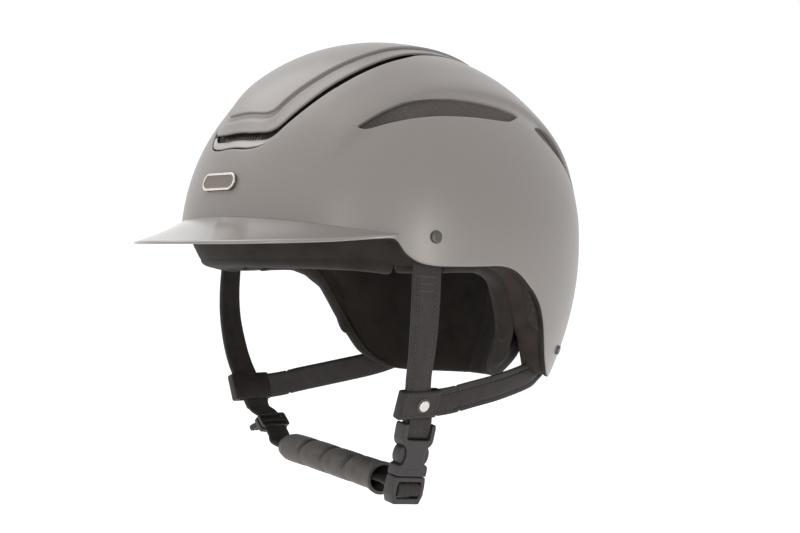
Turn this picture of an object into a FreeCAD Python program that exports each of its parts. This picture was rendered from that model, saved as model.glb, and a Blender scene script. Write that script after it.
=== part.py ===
import FreeCAD, Part
import math
import os

# Riding helmet, millimetres. +Z up, the peak points along -Y, the wearer's left is +X.
# The origin is the middle of the head opening, level with the rims over the ears.

V = FreeCAD.Vector

# Dome: the outside of the shell is a stack of rounded rings about the head's axis
FRONT_LENGTH = 121.0
REAR_LENGTH = 140.0
HALF_WIDTH = 111.0
BROW_Z = 11.8
DOME_HEIGHT = 123.6
CROWN_LEAN = 4.45
PLAN_POWER = 2.13
RISE_POWER = 2.09
REAR_TUCK = 2.68e-5
FRONT_TUCK = 1.0e-5
SKIRT_Z = -92.0
RING_POINTS = 24

# Layers, as distances outward from the shell's outer face
SHELL_WALL = 3.5
RECESS_DEPTH = 2.0
COVER_STEP = 1.2
PANEL_STEP = 2.6
FOAM_OUTER = -3.7
FOAM_INNER = -27.0
PAD_OUTER = -28.8
PAD_INNER = -36.0
LAYER_GAP = 0.12

# Crown band outlines in plan, right of the middle line from front to rear
BAND = [(21, -107), (29, -102.5), (40.5, -87), (48, -64), (50, -35), (44, 2), (33, 55), (20, 105)]
COVER = [(21, -103.5), (28, -99), (39, -84), (46, -62), (48, -35), (42, 2), (31, 55), (18, 101)]
PANEL = [(15, -95), (22, -90), (30, -79), (36, -58), (38, -33), (35, -7), (26, 45), (14, 88)]
INTAKE_HALF = 20.0
INTAKE_LOW = 71.0
INTAKE_HIGH = 74.2

# Vents, side view outlines (y, z): along the top edge, then back along the bottom edge
SIDE_VENT_TOP = [(-69, 78), (-56, 87), (-33, 95.5), (-7, 98.5), (24, 96), (46, 91)]
SIDE_VENT_LOW = [(47, 88), (37, 85), (0, 86), (-31, 84.6), (-55, 80), (-69, 76.6)]
REAR_VENT_TOP = [(62, 82), (68, 84.5), (76, 83), (86, 78), (96, 69), (104, 56)]
REAR_VENT_LOW = [(103, 54), (96, 56), (88, 60), (74, 70), (64, 78)]
VENT_FLANGE = 2.5
VENT_MESH_WALL = 1.2
VENT_POCKET = 8.0

# Rims, side view (y, z) from front to rear
SHELL_RIM = [(-130, 15), (-100, 15), (-75, 15), (-64, 14.8), (-60, 12.6), (-56.5, 7.4), (-53, 4.2), (-48.5, 1.6),
             (-42.5, 0), (-33, -0.7), (-10, -0.8), (5, -0.6), (13, -1.4), (23, -5), (33, -12.2), (42, -19.8),
             (49, -29.3), (54, -40.4), (60, -54.5), (67, -63.5), (76, -69), (88, -70.6), (98, -68.2),
             (106, -64), (114, -58.5), (122, -54.5)]
FOAM_RIM = [(-130, 17), (-60, 17), (-40, 6), (10, 4), (25, -3), (36, -16), (46, -34), (60, -45)]
NAPE_RIM = [(-10, 8), (10, -9), (31, -30), (42, -52), (54, -70), (70, -76)]

# Peak: where its root meets the shell (x, z) and its edge (x, y, z), middle to side
PEAK_ROOT = [(0, 28), (24, 27.3), (45, 26), (61.5, 24.3), (75, 22), (87, 19.7), (94.5, 18.3)]
PEAK_EDGE = [(0, -160, 13), (25, -156.5, 13), (45, -145.5, 13), (60, -134, 13.4), (74, -118, 13.8),
             (86, -97, 14.6), (94, -77.5, 16)]
PEAK_ROOT_WALL = 4.0
PEAK_EDGE_WALL = 2.2
PEAK_SINK = 5.0

# Badge, a generic blank stadium on the forehead
BADGE_Z = 47.5
BADGE_LENGTH = 32.0
BADGE_HEIGHT = 10.0
BADGE_RIM = 1.3

# Strap anchors
ANCHOR_Y = -39.0
ANCHOR_Z = 15.3
SCREW_CAP_R = 3.8
SCREW_SHAFT_R = 2.0
STRAP_HOLE_R = 2.05
NUT_R = 7.0
NUT_BARREL_R = 3.4
REAR_RIVET_Y = 81.0
REAR_RIVET_Z = -54.0
REAR_RIVET_R = 3.0
POCKET_X = 93.0
POCKET_HALF = 19.0
POCKET_TOP_Z = 33.0

# Harness webbing
STRAP_WIDTH = 18.0
STRAP_WALL = 2.4
REAR_STRAP_WIDTH = 16.0
REAR_STRAP_WALL = 2.0
REAR_STRAP_GAP = 1.6
CHIN_WIDTH = 16.0
CHIN_WALL = 2.0
WALL_TURN = 15.6

# Front strap, left side, from the top end down to where it loops into the buckle
STRAP_TOP = V(98.9, -39, 23)
STRAP_PIVOT = V(98.9, -39, ANCHOR_Z)
STRAP_ROUTE = [V(98.9, -40, -3), V(99.2, -41, -20), V(98, -41.2, -36), V(94.8, -40.3, -52)]
STRAP_TURNS = (WALL_TURN, 14.0, 11.0, 5.0)
KEEPER_RUN_TOP = V(90.3, -38.8, -66)
KEEPER_RUN_END = V(79.8, -31.6, -93.5)
RIGHT_STRAP_END = V(79.4, -31.4, -94.6)
REAR_STRAP_ROUTE = [V(84.5, 6, -78), V(82.5, 31, -74.5), V(76.5, 60, -69.5), V(71, 74, -65),
                    V(66.3, 83.8, -60.5), V(64.1, 87.5, -58.5)]

# Keeper, a leather loop round the front strap with the rear strap sewn to it
KEEPER_SHARE = 0.55
KEEPER_WIDTH = 29.0
KEEPER_HEIGHT = 17.4
KEEPER_WALL = 6.4
KEEPER_CLEARANCE = 0.5
KEEPER_SIDE_ROOM = 2.9
STUD_R = 3.6
STUD_WALL = 1.6

# Side-release buckle, lengths along its axis from the female end's top
BUCKLE_TOP = V(79.5, -31.4, -94.0)
BUCKLE_AXIS = V(-8.0, -4.4, -44.0)
BUCKLE_HALF = 12.0
BUCKLE_WALL_HALF = 5.0
FEMALE_LENGTH = 30.0
MALE_END = 47.0
CAVITY_START = 6.5
CAVITY_HALF = 9.6
CAVITY_WALL_HALF = 3.0
PRONG_WALL_HALF = 2.4
ARM_INNER = 5.2
ARM_OUTER = 8.8
BUTTON_OUTER = 11.4
BUTTON_START = 13.0
BUTTON_END = 22.0
BUCKLE_GAP = 0.3

# Chin: webbing run through the guard, and the slider on the wearer's right
CHIN_LEFT = V(54, -31.05, -128.25)
CHIN_RIGHT = V(-54.5, -29.6, -116)
CHIN_RIGHT_ROUTE = [V(-61.5, -28.8, -110.3), V(-72, -28.8, -99.7), V(-77.4, -30.8, -96.0)]
CHIN_END_MIDDLE = V(64, -33.6, -129.0)
SLIDER_SHARE = 0.6
SLIDER_LENGTH = 9.0
SLIDER_WIDTH = 22.0
SLIDER_WALL = 5.6
GUARD_LENGTH = 96.0
GUARD_HALF_WIDTH = 10.5
GUARD_HALF_HEIGHT = 9.0
GUARD_CLEARANCE = 0.7


def ring_wire(z, y_middle, half_width, front, rear):
    """A closed rounded ring at height z, longer to the rear than to the front."""
    points = []
    for step in range(RING_POINTS):
        angle = 2 * math.pi * step / RING_POINTS
        across = math.sin(angle)
        along = math.cos(angle)
        length = rear if along > 0 else front
        x = half_width * math.copysign(abs(across) ** (2 / PLAN_POWER), across)
        y = length * math.copysign(abs(along) ** (2 / PLAN_POWER), along)
        points.append(V(x, y + y_middle, z))
    curve = Part.BSplineCurve()
    curve.interpolate(Points=points, PeriodicFlag=True)
    return Part.Wire([curve.toShape()])


def dome(offset):
    """The dome moved outward by offset, as a solid standing on a flat bottom."""
    rings = []
    for z in (SKIRT_Z, -70, -48, -28, -10):
        drop = BROW_Z - z
        rear = (REAR_LENGTH + offset) * (1 - REAR_TUCK * drop ** 2)
        front = (FRONT_LENGTH + offset) * (1 - FRONT_TUCK * drop ** 2)
        half_width = (HALF_WIDTH + offset) * (1 - REAR_TUCK * drop ** 2 / 2)
        rings.append(ring_wire(z, 0, half_width, front, rear))
    height = DOME_HEIGHT + offset
    for degrees in (0, 12, 24, 36, 47, 57, 66, 74, 81, 86):
        rise = math.sin(math.radians(degrees)) ** (2 / RISE_POWER)
        shrink = math.cos(math.radians(degrees)) ** (2 / RISE_POWER)
        rings.append(ring_wire(BROW_Z + height * rise, CROWN_LEAN * rise, (HALF_WIDTH + offset) * shrink,
                               (FRONT_LENGTH + offset) * shrink, (REAR_LENGTH + offset) * shrink))
    crown = Part.Vertex(V(0, CROWN_LEAN, BROW_Z + height))
    return Part.makeLoft(rings + [crown], True, False)


def dome_sizes(z):
    """Middle y, half width, front length and rear length of the shell's outside at height z."""
    if z < BROW_Z:
        drop = BROW_Z - z
        rear = REAR_LENGTH * (1 - REAR_TUCK * drop ** 2)
        front = FRONT_LENGTH * (1 - FRONT_TUCK * drop ** 2)
        return 0, HALF_WIDTH * (1 - REAR_TUCK * drop ** 2 / 2), front, rear
    rise = (z - BROW_Z) / DOME_HEIGHT
    shrink = (1 - rise ** RISE_POWER) ** (1 / RISE_POWER)
    return CROWN_LEAN * rise, HALF_WIDTH * shrink, FRONT_LENGTH * shrink, REAR_LENGTH * shrink


def dome_side_point(y, z):
    """The point of the shell's outside on the left at a given y and z."""
    middle, half_width, front, rear = dome_sizes(z)
    length = rear if y > middle else front
    share = 1 - abs((y - middle) / length) ** PLAN_POWER
    return V(half_width * share ** (1 / PLAN_POWER), y, z)


def dome_front_point(x, z):
    """The point of the shell's outside on the front at a given x and z."""
    middle, half_width, front, rear = dome_sizes(z)
    share = 1 - abs(x / half_width) ** PLAN_POWER
    return V(x, middle - front * share ** (1 / PLAN_POWER), z)


def dome_side_normal(y, z):
    """The outward direction at a point of the left side."""
    along = dome_side_point(y + 0.5, z) - dome_side_point(y - 0.5, z)
    up = dome_side_point(y, z + 0.5) - dome_side_point(y, z - 0.5)
    return along.cross(up).normalize()


def mirrored(shape):
    """The same shape on the wearer's other side."""
    return shape.mirror(V(0, 0, 0), V(1, 0, 0))


def smooth_edge(points):
    """One smooth open edge through the points."""
    curve = Part.BSplineCurve()
    curve.interpolate(points)
    return curve.toShape()


def grown(outline, offset):
    """The points of a closed outline, each moved outward by offset."""
    pairs = list(zip(outline, outline[1:] + outline[:1]))
    area = sum(a[0] * b[1] - b[0] * a[1] for a, b in pairs)
    outward = offset if area > 0 else -offset
    moved = []
    for index, (a, b) in enumerate(outline):
        before = outline[index - 1]
        after = outline[(index + 1) % len(outline)]
        run = math.hypot(after[0] - before[0], after[1] - before[1])
        moved.append((a + outward * (after[1] - before[1]) / run, b - outward * (after[0] - before[0]) / run))
    return moved


def prism(first, second, direction):
    """Two smooth edges joined at their ends by straight ones, pushed along a direction."""
    edges = [smooth_edge(first), Part.makeLine(first[-1], second[0]), smooth_edge(second),
             Part.makeLine(second[-1], first[0])]
    return Part.Face(Part.Wire(edges)).extrude(direction)


def plan_prism(side_points, offset, low_z):
    """A vertical prism on a symmetric outline with a straight front and rear."""
    outline = side_points + [(-x, y) for x, y in reversed(side_points)]
    points = [V(x, y, low_z) for x, y in grown(outline, offset)]
    return prism(points[:len(side_points)], points[len(side_points):], V(0, 0, 200))


def side_prism(top, low, offset, near_x, far_x):
    """A prism along X on an outline of a top edge and a bottom edge."""
    points = [V(near_x, y, z) for y, z in grown(top + low, offset)]
    return prism(points[:len(top)], points[len(top):], V(far_x - near_x, 0, 0))


def below_rim(rim):
    """Everything under a rim line drawn in side view."""
    reach = 160.0
    floor = -140.0
    points = [V(-reach, y, z) for y, z in rim]
    corners = [points[-1], V(-reach, reach, points[-1].z), V(-reach, reach, floor),
               V(-reach, -reach, floor), V(-reach, -reach, points[0].z), points[0]]
    edges = [smooth_edge(points)]
    for start, end in zip(corners, corners[1:]):
        edges.append(Part.makeLine(start, end))
    return Part.Face(Part.Wire(edges)).extrude(V(2 * reach, 0, 0))


def box(low, high):
    """An axis-aligned box between two corners."""
    size = [high[i] - low[i] for i in range(3)]
    return Part.makeBox(size[0], size[1], size[2], V(*low))


def strap(stations, width, wall):
    """A flat strap through stations of (middle, width direction)."""
    sections = []
    last = len(stations) - 1
    for index, (middle, across) in enumerate(stations):
        before = stations[max(0, index - 1)][0]
        after = stations[min(last, index + 1)][0]
        run = (after - before).normalize()
        across = (across - run * across.dot(run)).normalize()
        out = run.cross(across).normalize()
        corners = []
        for side, face in ((-1, -1), (1, -1), (1, 1), (-1, 1)):
            corners.append(middle + across * (side * width / 2) + out * (face * wall / 2))
        sections.append(Part.makePolygon(corners + corners[:1]))
    return Part.makeLoft(sections, True, True)


def oriented(shape, origin, along, across):
    """Place a shape drawn with X along, Y across and Z out of the face."""
    along = V(along).normalize()
    across = (across - along * across.dot(along)).normalize()
    out = along.cross(across)
    matrix = FreeCAD.Matrix(along.x, across.x, out.x, origin.x, along.y, across.y, out.y, origin.y,
                            along.z, across.z, out.z, origin.z, 0, 0, 0, 1)
    return shape.transformed(matrix)


def block(length_from, length_to, half_across, half_out, across_middle=0.0):
    """A block in strap directions: along, across, out."""
    return box((length_from, across_middle - half_across, -half_out),
               (length_to, across_middle + half_across, half_out))


def turned(degrees):
    """The width direction of a strap turned about the vertical from straight fore and aft."""
    return V(math.sin(math.radians(degrees)), math.cos(math.radians(degrees)), 0)


def clean(shape):
    """A single solid or a group of solids, with faces that belong together joined."""
    return shape.removeSplitter()


# Domes used more than once
OUTER = dome(0)
INNER = dome(-SHELL_WALL)
RECESS_FLOOR = dome(-RECESS_DEPTH)
COVER_BASE_FACE = dome(-RECESS_DEPTH + 1.0)
COVER_FACE = dome(COVER_STEP)
FOAM_FACE = dome(FOAM_OUTER)
CAVITY = dome(FOAM_INNER)
PAD_FACE = dome(PAD_OUTER)
HEAD_FACE = dome(PAD_INNER)
FOAM_BODY = FOAM_FACE.cut(CAVITY).cut(below_rim(FOAM_RIM))


def vent_prisms(offset):
    """Both left vents as prisms grown by offset."""
    side = side_prism(SIDE_VENT_TOP, SIDE_VENT_LOW, offset, 40, 125)
    rear = side_prism(REAR_VENT_TOP, REAR_VENT_LOW, offset, 20, 115)
    return side, rear


def anchor_bore(radius, start_x, end_x):
    """A bore along the strap anchor's axis on the left."""
    return Part.makeCylinder(radius, end_x - start_x, V(start_x, ANCHOR_Y, ANCHOR_Z), V(1, 0, 0))


def rear_rivet_frame():
    """The seat of the left rear rivet and its outward direction."""
    return dome_side_point(REAR_RIVET_Y, REAR_RIVET_Z), dome_side_normal(REAR_RIVET_Y, REAR_RIVET_Z)


def both_sides(shape):
    """A cutter together with its mirror image."""
    return Part.makeCompound([shape, mirrored(shape)])


def intake_box(grow):
    """The forehead air intake as a box through the front wall."""
    return box((-INTAKE_HALF + grow, -125, INTAKE_LOW + grow), (INTAKE_HALF - grow, -80, INTAKE_HIGH - grow))


def make_shell():
    """The hard outer shell with its crown recess, vents, intake and anchor holes."""
    shell = OUTER.cut(INNER).cut(below_rim(SHELL_RIM))
    recess = plan_prism(BAND, 0, 40).common(dome(1.0).cut(RECESS_FLOOR))
    shell = shell.cut(recess).cut(intake_box(0))
    seat, outward = rear_rivet_frame()
    rivet_hole = Part.makeCylinder(SCREW_SHAFT_R + 0.1, 20, seat - outward * 10, outward)
    for vent in vent_prisms(0):
        shell = shell.cut(both_sides(vent))
    for hole in (anchor_bore(STRAP_HOLE_R, 90, 115), anchor_bore(SCREW_CAP_R + 0.1, 105, 115), rivet_hole):
        shell = shell.cut(both_sides(hole))
    return clean(shell)


def make_peak():
    """The peak, lofted across the brow and cut to lie on the shell."""
    sections = []
    stations = list(zip(PEAK_ROOT, PEAK_EDGE))
    ordered = [(-1, pair) for pair in reversed(stations[1:])] + [(1, pair) for pair in stations]
    for side, (root, edge) in ordered:
        top_root = dome_front_point(root[0], root[1])
        top_edge = V(*edge)
        inward = V(top_root.x - top_edge.x, top_root.y - top_edge.y, 0).normalize() * PEAK_SINK
        middle = top_root + (top_edge - top_root) * 0.45 - V(0, 0, 1.2)
        slope = (top_edge - top_root).normalize()
        lip = top_edge + slope * 0.6 - V(0, 0, PEAK_EDGE_WALL / 2)
        under_edge = top_edge - V(0, 0, PEAK_EDGE_WALL)
        under_middle = middle - V(0, 0, (PEAK_ROOT_WALL + PEAK_EDGE_WALL) / 2)
        under_root = top_root + inward - V(0, 0, PEAK_ROOT_WALL)
        corners = [top_root + inward, middle, top_edge, lip, under_edge, under_middle, under_root]
        corners = [V(side * p.x, p.y, p.z) for p in corners]
        sections.append(Part.makePolygon(corners + corners[:1]))
    peak = Part.makeLoft(sections, True, False)
    return clean(peak.cut(dome(LAYER_GAP)))


def band_layer(outline, offset, outer, inner):
    """A slice of the dome's wall inside a plan outline."""
    return plan_prism(outline, offset, 40).common(outer.cut(inner))


def make_crown_parts():
    """The recessed tray, its light front trim, the cover and the raised crown panel."""
    gap = -0.3
    tray = band_layer(BAND, gap, COVER_BASE_FACE, dome(-RECESS_DEPTH + LAYER_GAP))
    tray = tray.cut(intake_box(0))
    trim_front = box((-60, -125, 40), (60, -88, 140))
    trim_layer = dome(-0.1).cut(dome(-RECESS_DEPTH + 1.0 + LAYER_GAP))
    trim = plan_prism(BAND, gap, 40).cut(plan_prism(COVER, 0.6, 39))
    trim = trim.common(trim_layer).common(trim_front).cut(intake_box(0))
    cover_floor = dome(-RECESS_DEPTH + 1.0 + LAYER_GAP)
    cover = band_layer(COVER, 0, COVER_FACE, cover_floor).cut(intake_box(-0.4))
    panel = band_layer(PANEL, 0, dome(PANEL_STEP), dome(COVER_STEP + LAYER_GAP))
    mesh = dome(-RECESS_DEPTH - 0.5).cut(dome(-SHELL_WALL)).common(intake_box(0.1))
    return {"crown_tray": tray, "intake_trim": trim, "crown_cover": cover, "crown_panel": panel,
            "intake_mesh": mesh}


def make_vent_meshes():
    """The perforated inserts, held between the shell and the foam."""
    layer = dome(-SHELL_WALL - LAYER_GAP).cut(dome(-SHELL_WALL - VENT_MESH_WALL))
    names = ("side_vent_mesh", "rear_vent_mesh")
    meshes = {}
    for name, vent in zip(names, vent_prisms(VENT_FLANGE)):
        insert = layer.common(vent)
        meshes[name + "_left"] = insert
        meshes[name + "_right"] = mirrored(insert)
    return meshes


def stadium(length, height, y_from, y_to):
    """A prism along Y on a stadium outline centred on the badge's height."""
    radius = height / 2
    straight = length / 2 - radius
    middle = box((-straight, y_from, BADGE_Z - radius), (straight, y_to, BADGE_Z + radius))
    for side in (-1, 1):
        end = Part.makeCylinder(radius, y_to - y_from, V(side * straight, y_from, BADGE_Z), V(0, 1, 0))
        middle = middle.fuse(end)
    return middle.removeSplitter()


def make_badge():
    """A blank badge: a backing plate inside a raised rim."""
    outer = stadium(BADGE_LENGTH, BADGE_HEIGHT, -140, -95)
    inner = stadium(BADGE_LENGTH - 2 * BADGE_RIM, BADGE_HEIGHT - 2 * BADGE_RIM, -141, -94)
    plate_outline = stadium(BADGE_LENGTH - 2 * BADGE_RIM - 0.2, BADGE_HEIGHT - 2 * BADGE_RIM - 0.2, -140, -95)
    seat = dome(LAYER_GAP)
    rim = outer.cut(inner).common(dome(1.9).cut(seat))
    plate = plate_outline.common(dome(1.3).cut(seat))
    return {"badge_rim": rim, "badge_plate": plate}


def strap_pocket():
    """The pocket in the foam that the front strap hangs and swings in."""
    return box((POCKET_X, ANCHOR_Y - POCKET_HALF, -12), (120, ANCHOR_Y + POCKET_HALF, POCKET_TOP_Z))


def make_foam():
    """The energy-absorbing foam liner with vent pockets, intake channel and strap pockets."""
    foam = FOAM_BODY
    pocket_layer = OUTER.cut(dome(-SHELL_WALL - VENT_POCKET))
    for vent in vent_prisms(VENT_FLANGE + 0.4):
        foam = foam.cut(both_sides(vent.common(pocket_layer)))
    channel = box((-INTAKE_HALF + 4, -125, INTAKE_LOW - 3), (INTAKE_HALF - 4, -50, INTAKE_HIGH + 3))
    nut_seat = anchor_bore(NUT_R + 0.1, POCKET_X - 2.2, POCKET_X + 1)
    shaft_hole = anchor_bore(SCREW_SHAFT_R + 0.2, POCKET_X - 8, POCKET_X + 1)
    foam = foam.cut(channel)
    for hollow in (strap_pocket(), nut_seat, shaft_hole):
        foam = foam.cut(both_sides(hollow))
    return clean(foam)


def nape_stack(inset):
    """The nape pad's outline in rings that tuck in under the back of the head."""
    rings = []
    for z, half_width, rear in ((-78, 77, 88), (-58, 86, 97), (-36, 91, 104), (-12, 93, 109), (6, 94, 111)):
        rings.append(ring_wire(z, 0, half_width - inset, 70, rear - inset))
    return Part.makeLoft(rings, True, False)


def make_pads():
    """The washable comfort pads and the hook patches that hold them."""
    layer = PAD_FACE.cut(HEAD_FACE)
    pads = {}
    pads["forehead_pad"] = layer.common(box((-78, -130, -4), (78, -48, 46)))
    side = layer.common(box((40, -45, -5), (110, 22, 34)))
    side = side.cut(below_rim([(-60, 4), (-45, -1), (-19, -4), (10, -5), (30, -5)]))
    pads["temple_pad_left"] = side
    pads["temple_pad_right"] = mirrored(side)
    crown = Part.makeCylinder(40, 120, V(0, 4, 20))
    pads["crown_pad"] = layer.common(crown)
    nape = nape_stack(0).cut(nape_stack(9)).cut(below_rim(NAPE_RIM))
    nape = nape.cut(box((-120, -120, -100), (120, 12, 40)))
    nape = nape.cut(box((-120, 0, -10), (120, 150, 40)))
    pads["nape_pad"] = nape.cut(FOAM_BODY)
    patch_layer = dome(FOAM_INNER - 0.1).cut(dome(PAD_OUTER + 0.1))
    patches = []
    for x, y, z in ((-30, -90, 30), (30, -90, 30), (-80, -15, 20), (80, -15, 20)):
        patches.append(patch_layer.common(box((x - 12, y - 20, z - 6), (x + 12, y + 20, z + 6))))
    for side in (-22, 22):
        patches.append(patch_layer.common(box((side - 8, -6, 80), (side + 8, 14, 125))))
    pads["hook_patches"] = Part.makeCompound(patches)
    return pads


def make_fasteners():
    """Anchor screws with domed caps, their nuts, and the rear rivets."""
    shaft = anchor_bore(SCREW_SHAFT_R, POCKET_X - 6, 106)
    cap = anchor_bore(SCREW_CAP_R, 105.1, 107.6)
    cap = cap.makeFillet(1.4, [edge for edge in cap.Edges if edge.BoundBox.XMin > 107.5])
    screw = clean(shaft.fuse(cap))
    nut = anchor_bore(NUT_R, POCKET_X - 2.1, POCKET_X - 0.1).fuse(anchor_bore(NUT_BARREL_R, POCKET_X - 0.2, 96.2))
    nut = clean(nut.cut(anchor_bore(SCREW_SHAFT_R + 0.02, 80, 110)))
    seat, outward = rear_rivet_frame()
    head = Part.makeCylinder(REAR_RIVET_R, 1.6, seat + outward * 0.1, outward)
    head = head.makeFillet(1.0, [max(head.Edges, key=lambda edge: edge.CenterOfMass.dot(outward))])
    rivet = clean(head.fuse(Part.makeCylinder(SCREW_SHAFT_R, 8.0, seat - outward * 7.5, outward)))
    return {"anchor_screw_left": screw, "anchor_screw_right": mirrored(screw),
            "anchor_nuts": Part.makeCompound([nut, mirrored(nut)]),
            "rear_rivet_left": rivet, "rear_rivet_right": mirrored(rivet)}


def keeper_frame():
    """Middle, direction down the strap and width direction where the keeper sits."""
    run = KEEPER_RUN_END - KEEPER_RUN_TOP
    return KEEPER_RUN_TOP + run * KEEPER_SHARE, V(run.x, 0, run.z), turned(0)


def make_front_strap(end_points):
    """A front strap on the left, with the hole for its anchor screw."""
    stations = [(STRAP_TOP, turned(WALL_TURN)), (STRAP_PIVOT, turned(WALL_TURN))]
    stations += [(point, turned(turn)) for point, turn in zip(STRAP_ROUTE, STRAP_TURNS)]
    stations += [(KEEPER_RUN_TOP, turned(0)), (KEEPER_RUN_END, turned(0))]
    stations += [(point, turned(0)) for point in end_points]
    body = strap(stations, STRAP_WIDTH, STRAP_WALL)
    return clean(body.cut(anchor_bore(STRAP_HOLE_R, 90, 110)))


def make_keeper():
    """The left keeper loop and its press stud."""
    middle, run, across = keeper_frame()
    half = KEEPER_HEIGHT / 2
    loop = block(-half, half, KEEPER_WIDTH / 2, KEEPER_WALL / 2)
    loop = loop.makeFillet(1.2, loop.Edges)
    slot = block(-half - 1, half + 1, STRAP_WIDTH / 2 + KEEPER_SIDE_ROOM, STRAP_WALL / 2 + KEEPER_CLEARANCE)
    loop = oriented(loop.cut(slot), middle, run, across)
    stud = Part.makeCylinder(STUD_R, STUD_WALL, V(0, 2, KEEPER_WALL / 2))
    stud = stud.makeFillet(0.9, [max(stud.Edges, key=lambda edge: edge.CenterOfMass.z)])
    return loop, oriented(stud, middle, run, across)


def make_rear_strap():
    """The left rear strap, from the keeper back to its rivet inside the shell."""
    middle, run, across = keeper_frame()
    start = middle + V(across).normalize() * (KEEPER_WIDTH / 2 + REAR_STRAP_GAP)
    up = V(0, 0, 1)
    stations = [(point, up) for point in [start] + REAR_STRAP_ROUTE]
    body = strap(stations, REAR_STRAP_WIDTH, REAR_STRAP_WALL)
    seat, outward = rear_rivet_frame()
    return body.cut(Part.makeCylinder(STRAP_HOLE_R, 40, seat - outward * 30, outward))


def on_buckle(shape):
    """Place a shape drawn in buckle directions: along, across, out."""
    return oriented(shape, BUCKLE_TOP, BUCKLE_AXIS, turned(0))


def make_buckle():
    """The side-release buckle: socket, plug and the plug's two sprung release arms."""
    socket = block(0, FEMALE_LENGTH, BUCKLE_HALF, BUCKLE_WALL_HALF)
    socket = socket.makeFillet(1.2, socket.Edges)
    socket = socket.cut(block(CAVITY_START, FEMALE_LENGTH + 1, CAVITY_HALF, CAVITY_WALL_HALF))
    socket = socket.cut(block(2.0, 5.0, STRAP_WIDTH / 2 + 0.4, BUCKLE_WALL_HALF + 1))
    window = block(BUTTON_START - 1, BUTTON_END + 1, BUCKLE_HALF + 1, CAVITY_WALL_HALF)
    socket = socket.cut(window)
    base = block(FEMALE_LENGTH + BUCKLE_GAP, MALE_END, BUCKLE_HALF, BUCKLE_WALL_HALF - 0.5)
    base = base.makeFillet(1.2, base.Edges)
    for start in (FEMALE_LENGTH + 4.0, FEMALE_LENGTH + 10.6):
        base = base.cut(block(start, start + 4.6, CHIN_WIDTH / 2 + 1.4, BUCKLE_WALL_HALF + 1))
    tongue = block(CAVITY_START + 3, FEMALE_LENGTH + 2, 2.4, PRONG_WALL_HALF)
    plug = clean(base.fuse(tongue))
    half_arm = (ARM_OUTER - ARM_INNER) / 2
    arm = block(CAVITY_START + 4, FEMALE_LENGTH, half_arm, PRONG_WALL_HALF, ARM_INNER + half_arm)
    button = block(BUTTON_START, BUTTON_END, (BUTTON_OUTER - ARM_OUTER) / 2 + 0.2, PRONG_WALL_HALF,
                   (BUTTON_OUTER + ARM_OUTER) / 2 - 0.2)
    button = button.makeFillet(1.0, [edge for edge in button.Edges if edge.BoundBox.YMin > BUTTON_OUTER - 0.1])
    rear_arm = clean(arm.fuse(button))
    front_arm = rear_arm.mirror(V(0, 0, 0), V(0, 1, 0))
    return {"buckle_socket": on_buckle(socket), "buckle_plug": on_buckle(plug),
            "release_arm_rear": on_buckle(rear_arm), "release_arm_front": on_buckle(front_arm)}


def make_chin_parts():
    """Chin webbing, its end in the buckle, the padded guard and the slider."""
    flat = turned(0)
    run = CHIN_RIGHT - CHIN_LEFT
    middle = (CHIN_RIGHT + CHIN_LEFT) / 2
    stations = [(point, flat) for point in [CHIN_LEFT, CHIN_RIGHT] + CHIN_RIGHT_ROUTE]
    webbing = strap(stations, CHIN_WIDTH, CHIN_WALL)
    axis = V(BUCKLE_AXIS).normalize()
    bar = BUCKLE_TOP + axis * (FEMALE_LENGTH + 6.3)
    outward = V(run).normalize() * -1
    starts = [(CHIN_LEFT + outward * 0.3, flat), (CHIN_LEFT + outward * 4, flat)]
    ends = [(CHIN_END_MIDDLE, flat), (bar + V(-5.6, 0, 1.0), flat), (bar + V(3.0, 0, -0.5), flat)]
    end = strap(starts + ends, CHIN_WIDTH, CHIN_WALL)
    guard = Part.makeCylinder(GUARD_HALF_HEIGHT, GUARD_LENGTH, V(-GUARD_LENGTH / 2, 0, 0), V(1, 0, 0))
    widen = FreeCAD.Matrix()
    widen.scale(1, GUARD_HALF_WIDTH / GUARD_HALF_HEIGHT, 1)
    guard = guard.transformGeometry(widen)
    bore = block(-GUARD_LENGTH, GUARD_LENGTH, CHIN_WIDTH / 2 + GUARD_CLEARANCE, CHIN_WALL / 2 + GUARD_CLEARANCE)
    guard = oriented(guard.cut(bore), middle, run, flat)
    low, high = CHIN_RIGHT_ROUTE[:2]
    slope = high - low
    slider = block(-SLIDER_LENGTH / 2, SLIDER_LENGTH / 2, SLIDER_WIDTH / 2, SLIDER_WALL / 2)
    slider = slider.makeFillet(1.0, slider.Edges)
    slot = block(-SLIDER_LENGTH, SLIDER_LENGTH, CHIN_WIDTH / 2 + 0.5, CHIN_WALL / 2 + 0.4)
    slider = oriented(slider.cut(slot), low + slope * SLIDER_SHARE, slope, flat)
    return {"chin_webbing": webbing, "chin_webbing_end": end, "chin_guard": guard, "chin_slider": slider}


def make_all():
    """Every node by name."""
    nodes = {"outer_shell": make_shell(), "peak": make_peak(), "eps_liner": make_foam()}
    nodes.update(make_crown_parts())
    nodes.update(make_vent_meshes())
    nodes.update(make_badge())
    nodes.update(make_pads())
    nodes.update(make_fasteners())
    nodes["front_strap_left"] = make_front_strap([BUCKLE_TOP + V(BUCKLE_AXIS).normalize() * -0.5])
    nodes["front_strap_right"] = mirrored(make_front_strap([RIGHT_STRAP_END]))
    keeper, stud = make_keeper()
    rear = make_rear_strap()
    for name, shape in (("keeper", keeper), ("keeper_stud", stud), ("rear_strap", rear)):
        nodes[name + "_left"] = shape
        nodes[name + "_right"] = mirrored(shape)
    nodes.update(make_buckle())
    nodes.update(make_chin_parts())
    return nodes


os.makedirs("parts", exist_ok=True)
for node_name, node_shape in make_all().items():
    node_shape.exportStep("parts/" + node_name + ".step")
    print(node_name, len(node_shape.Solids), round(node_shape.Volume), node_shape.isValid())
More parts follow.
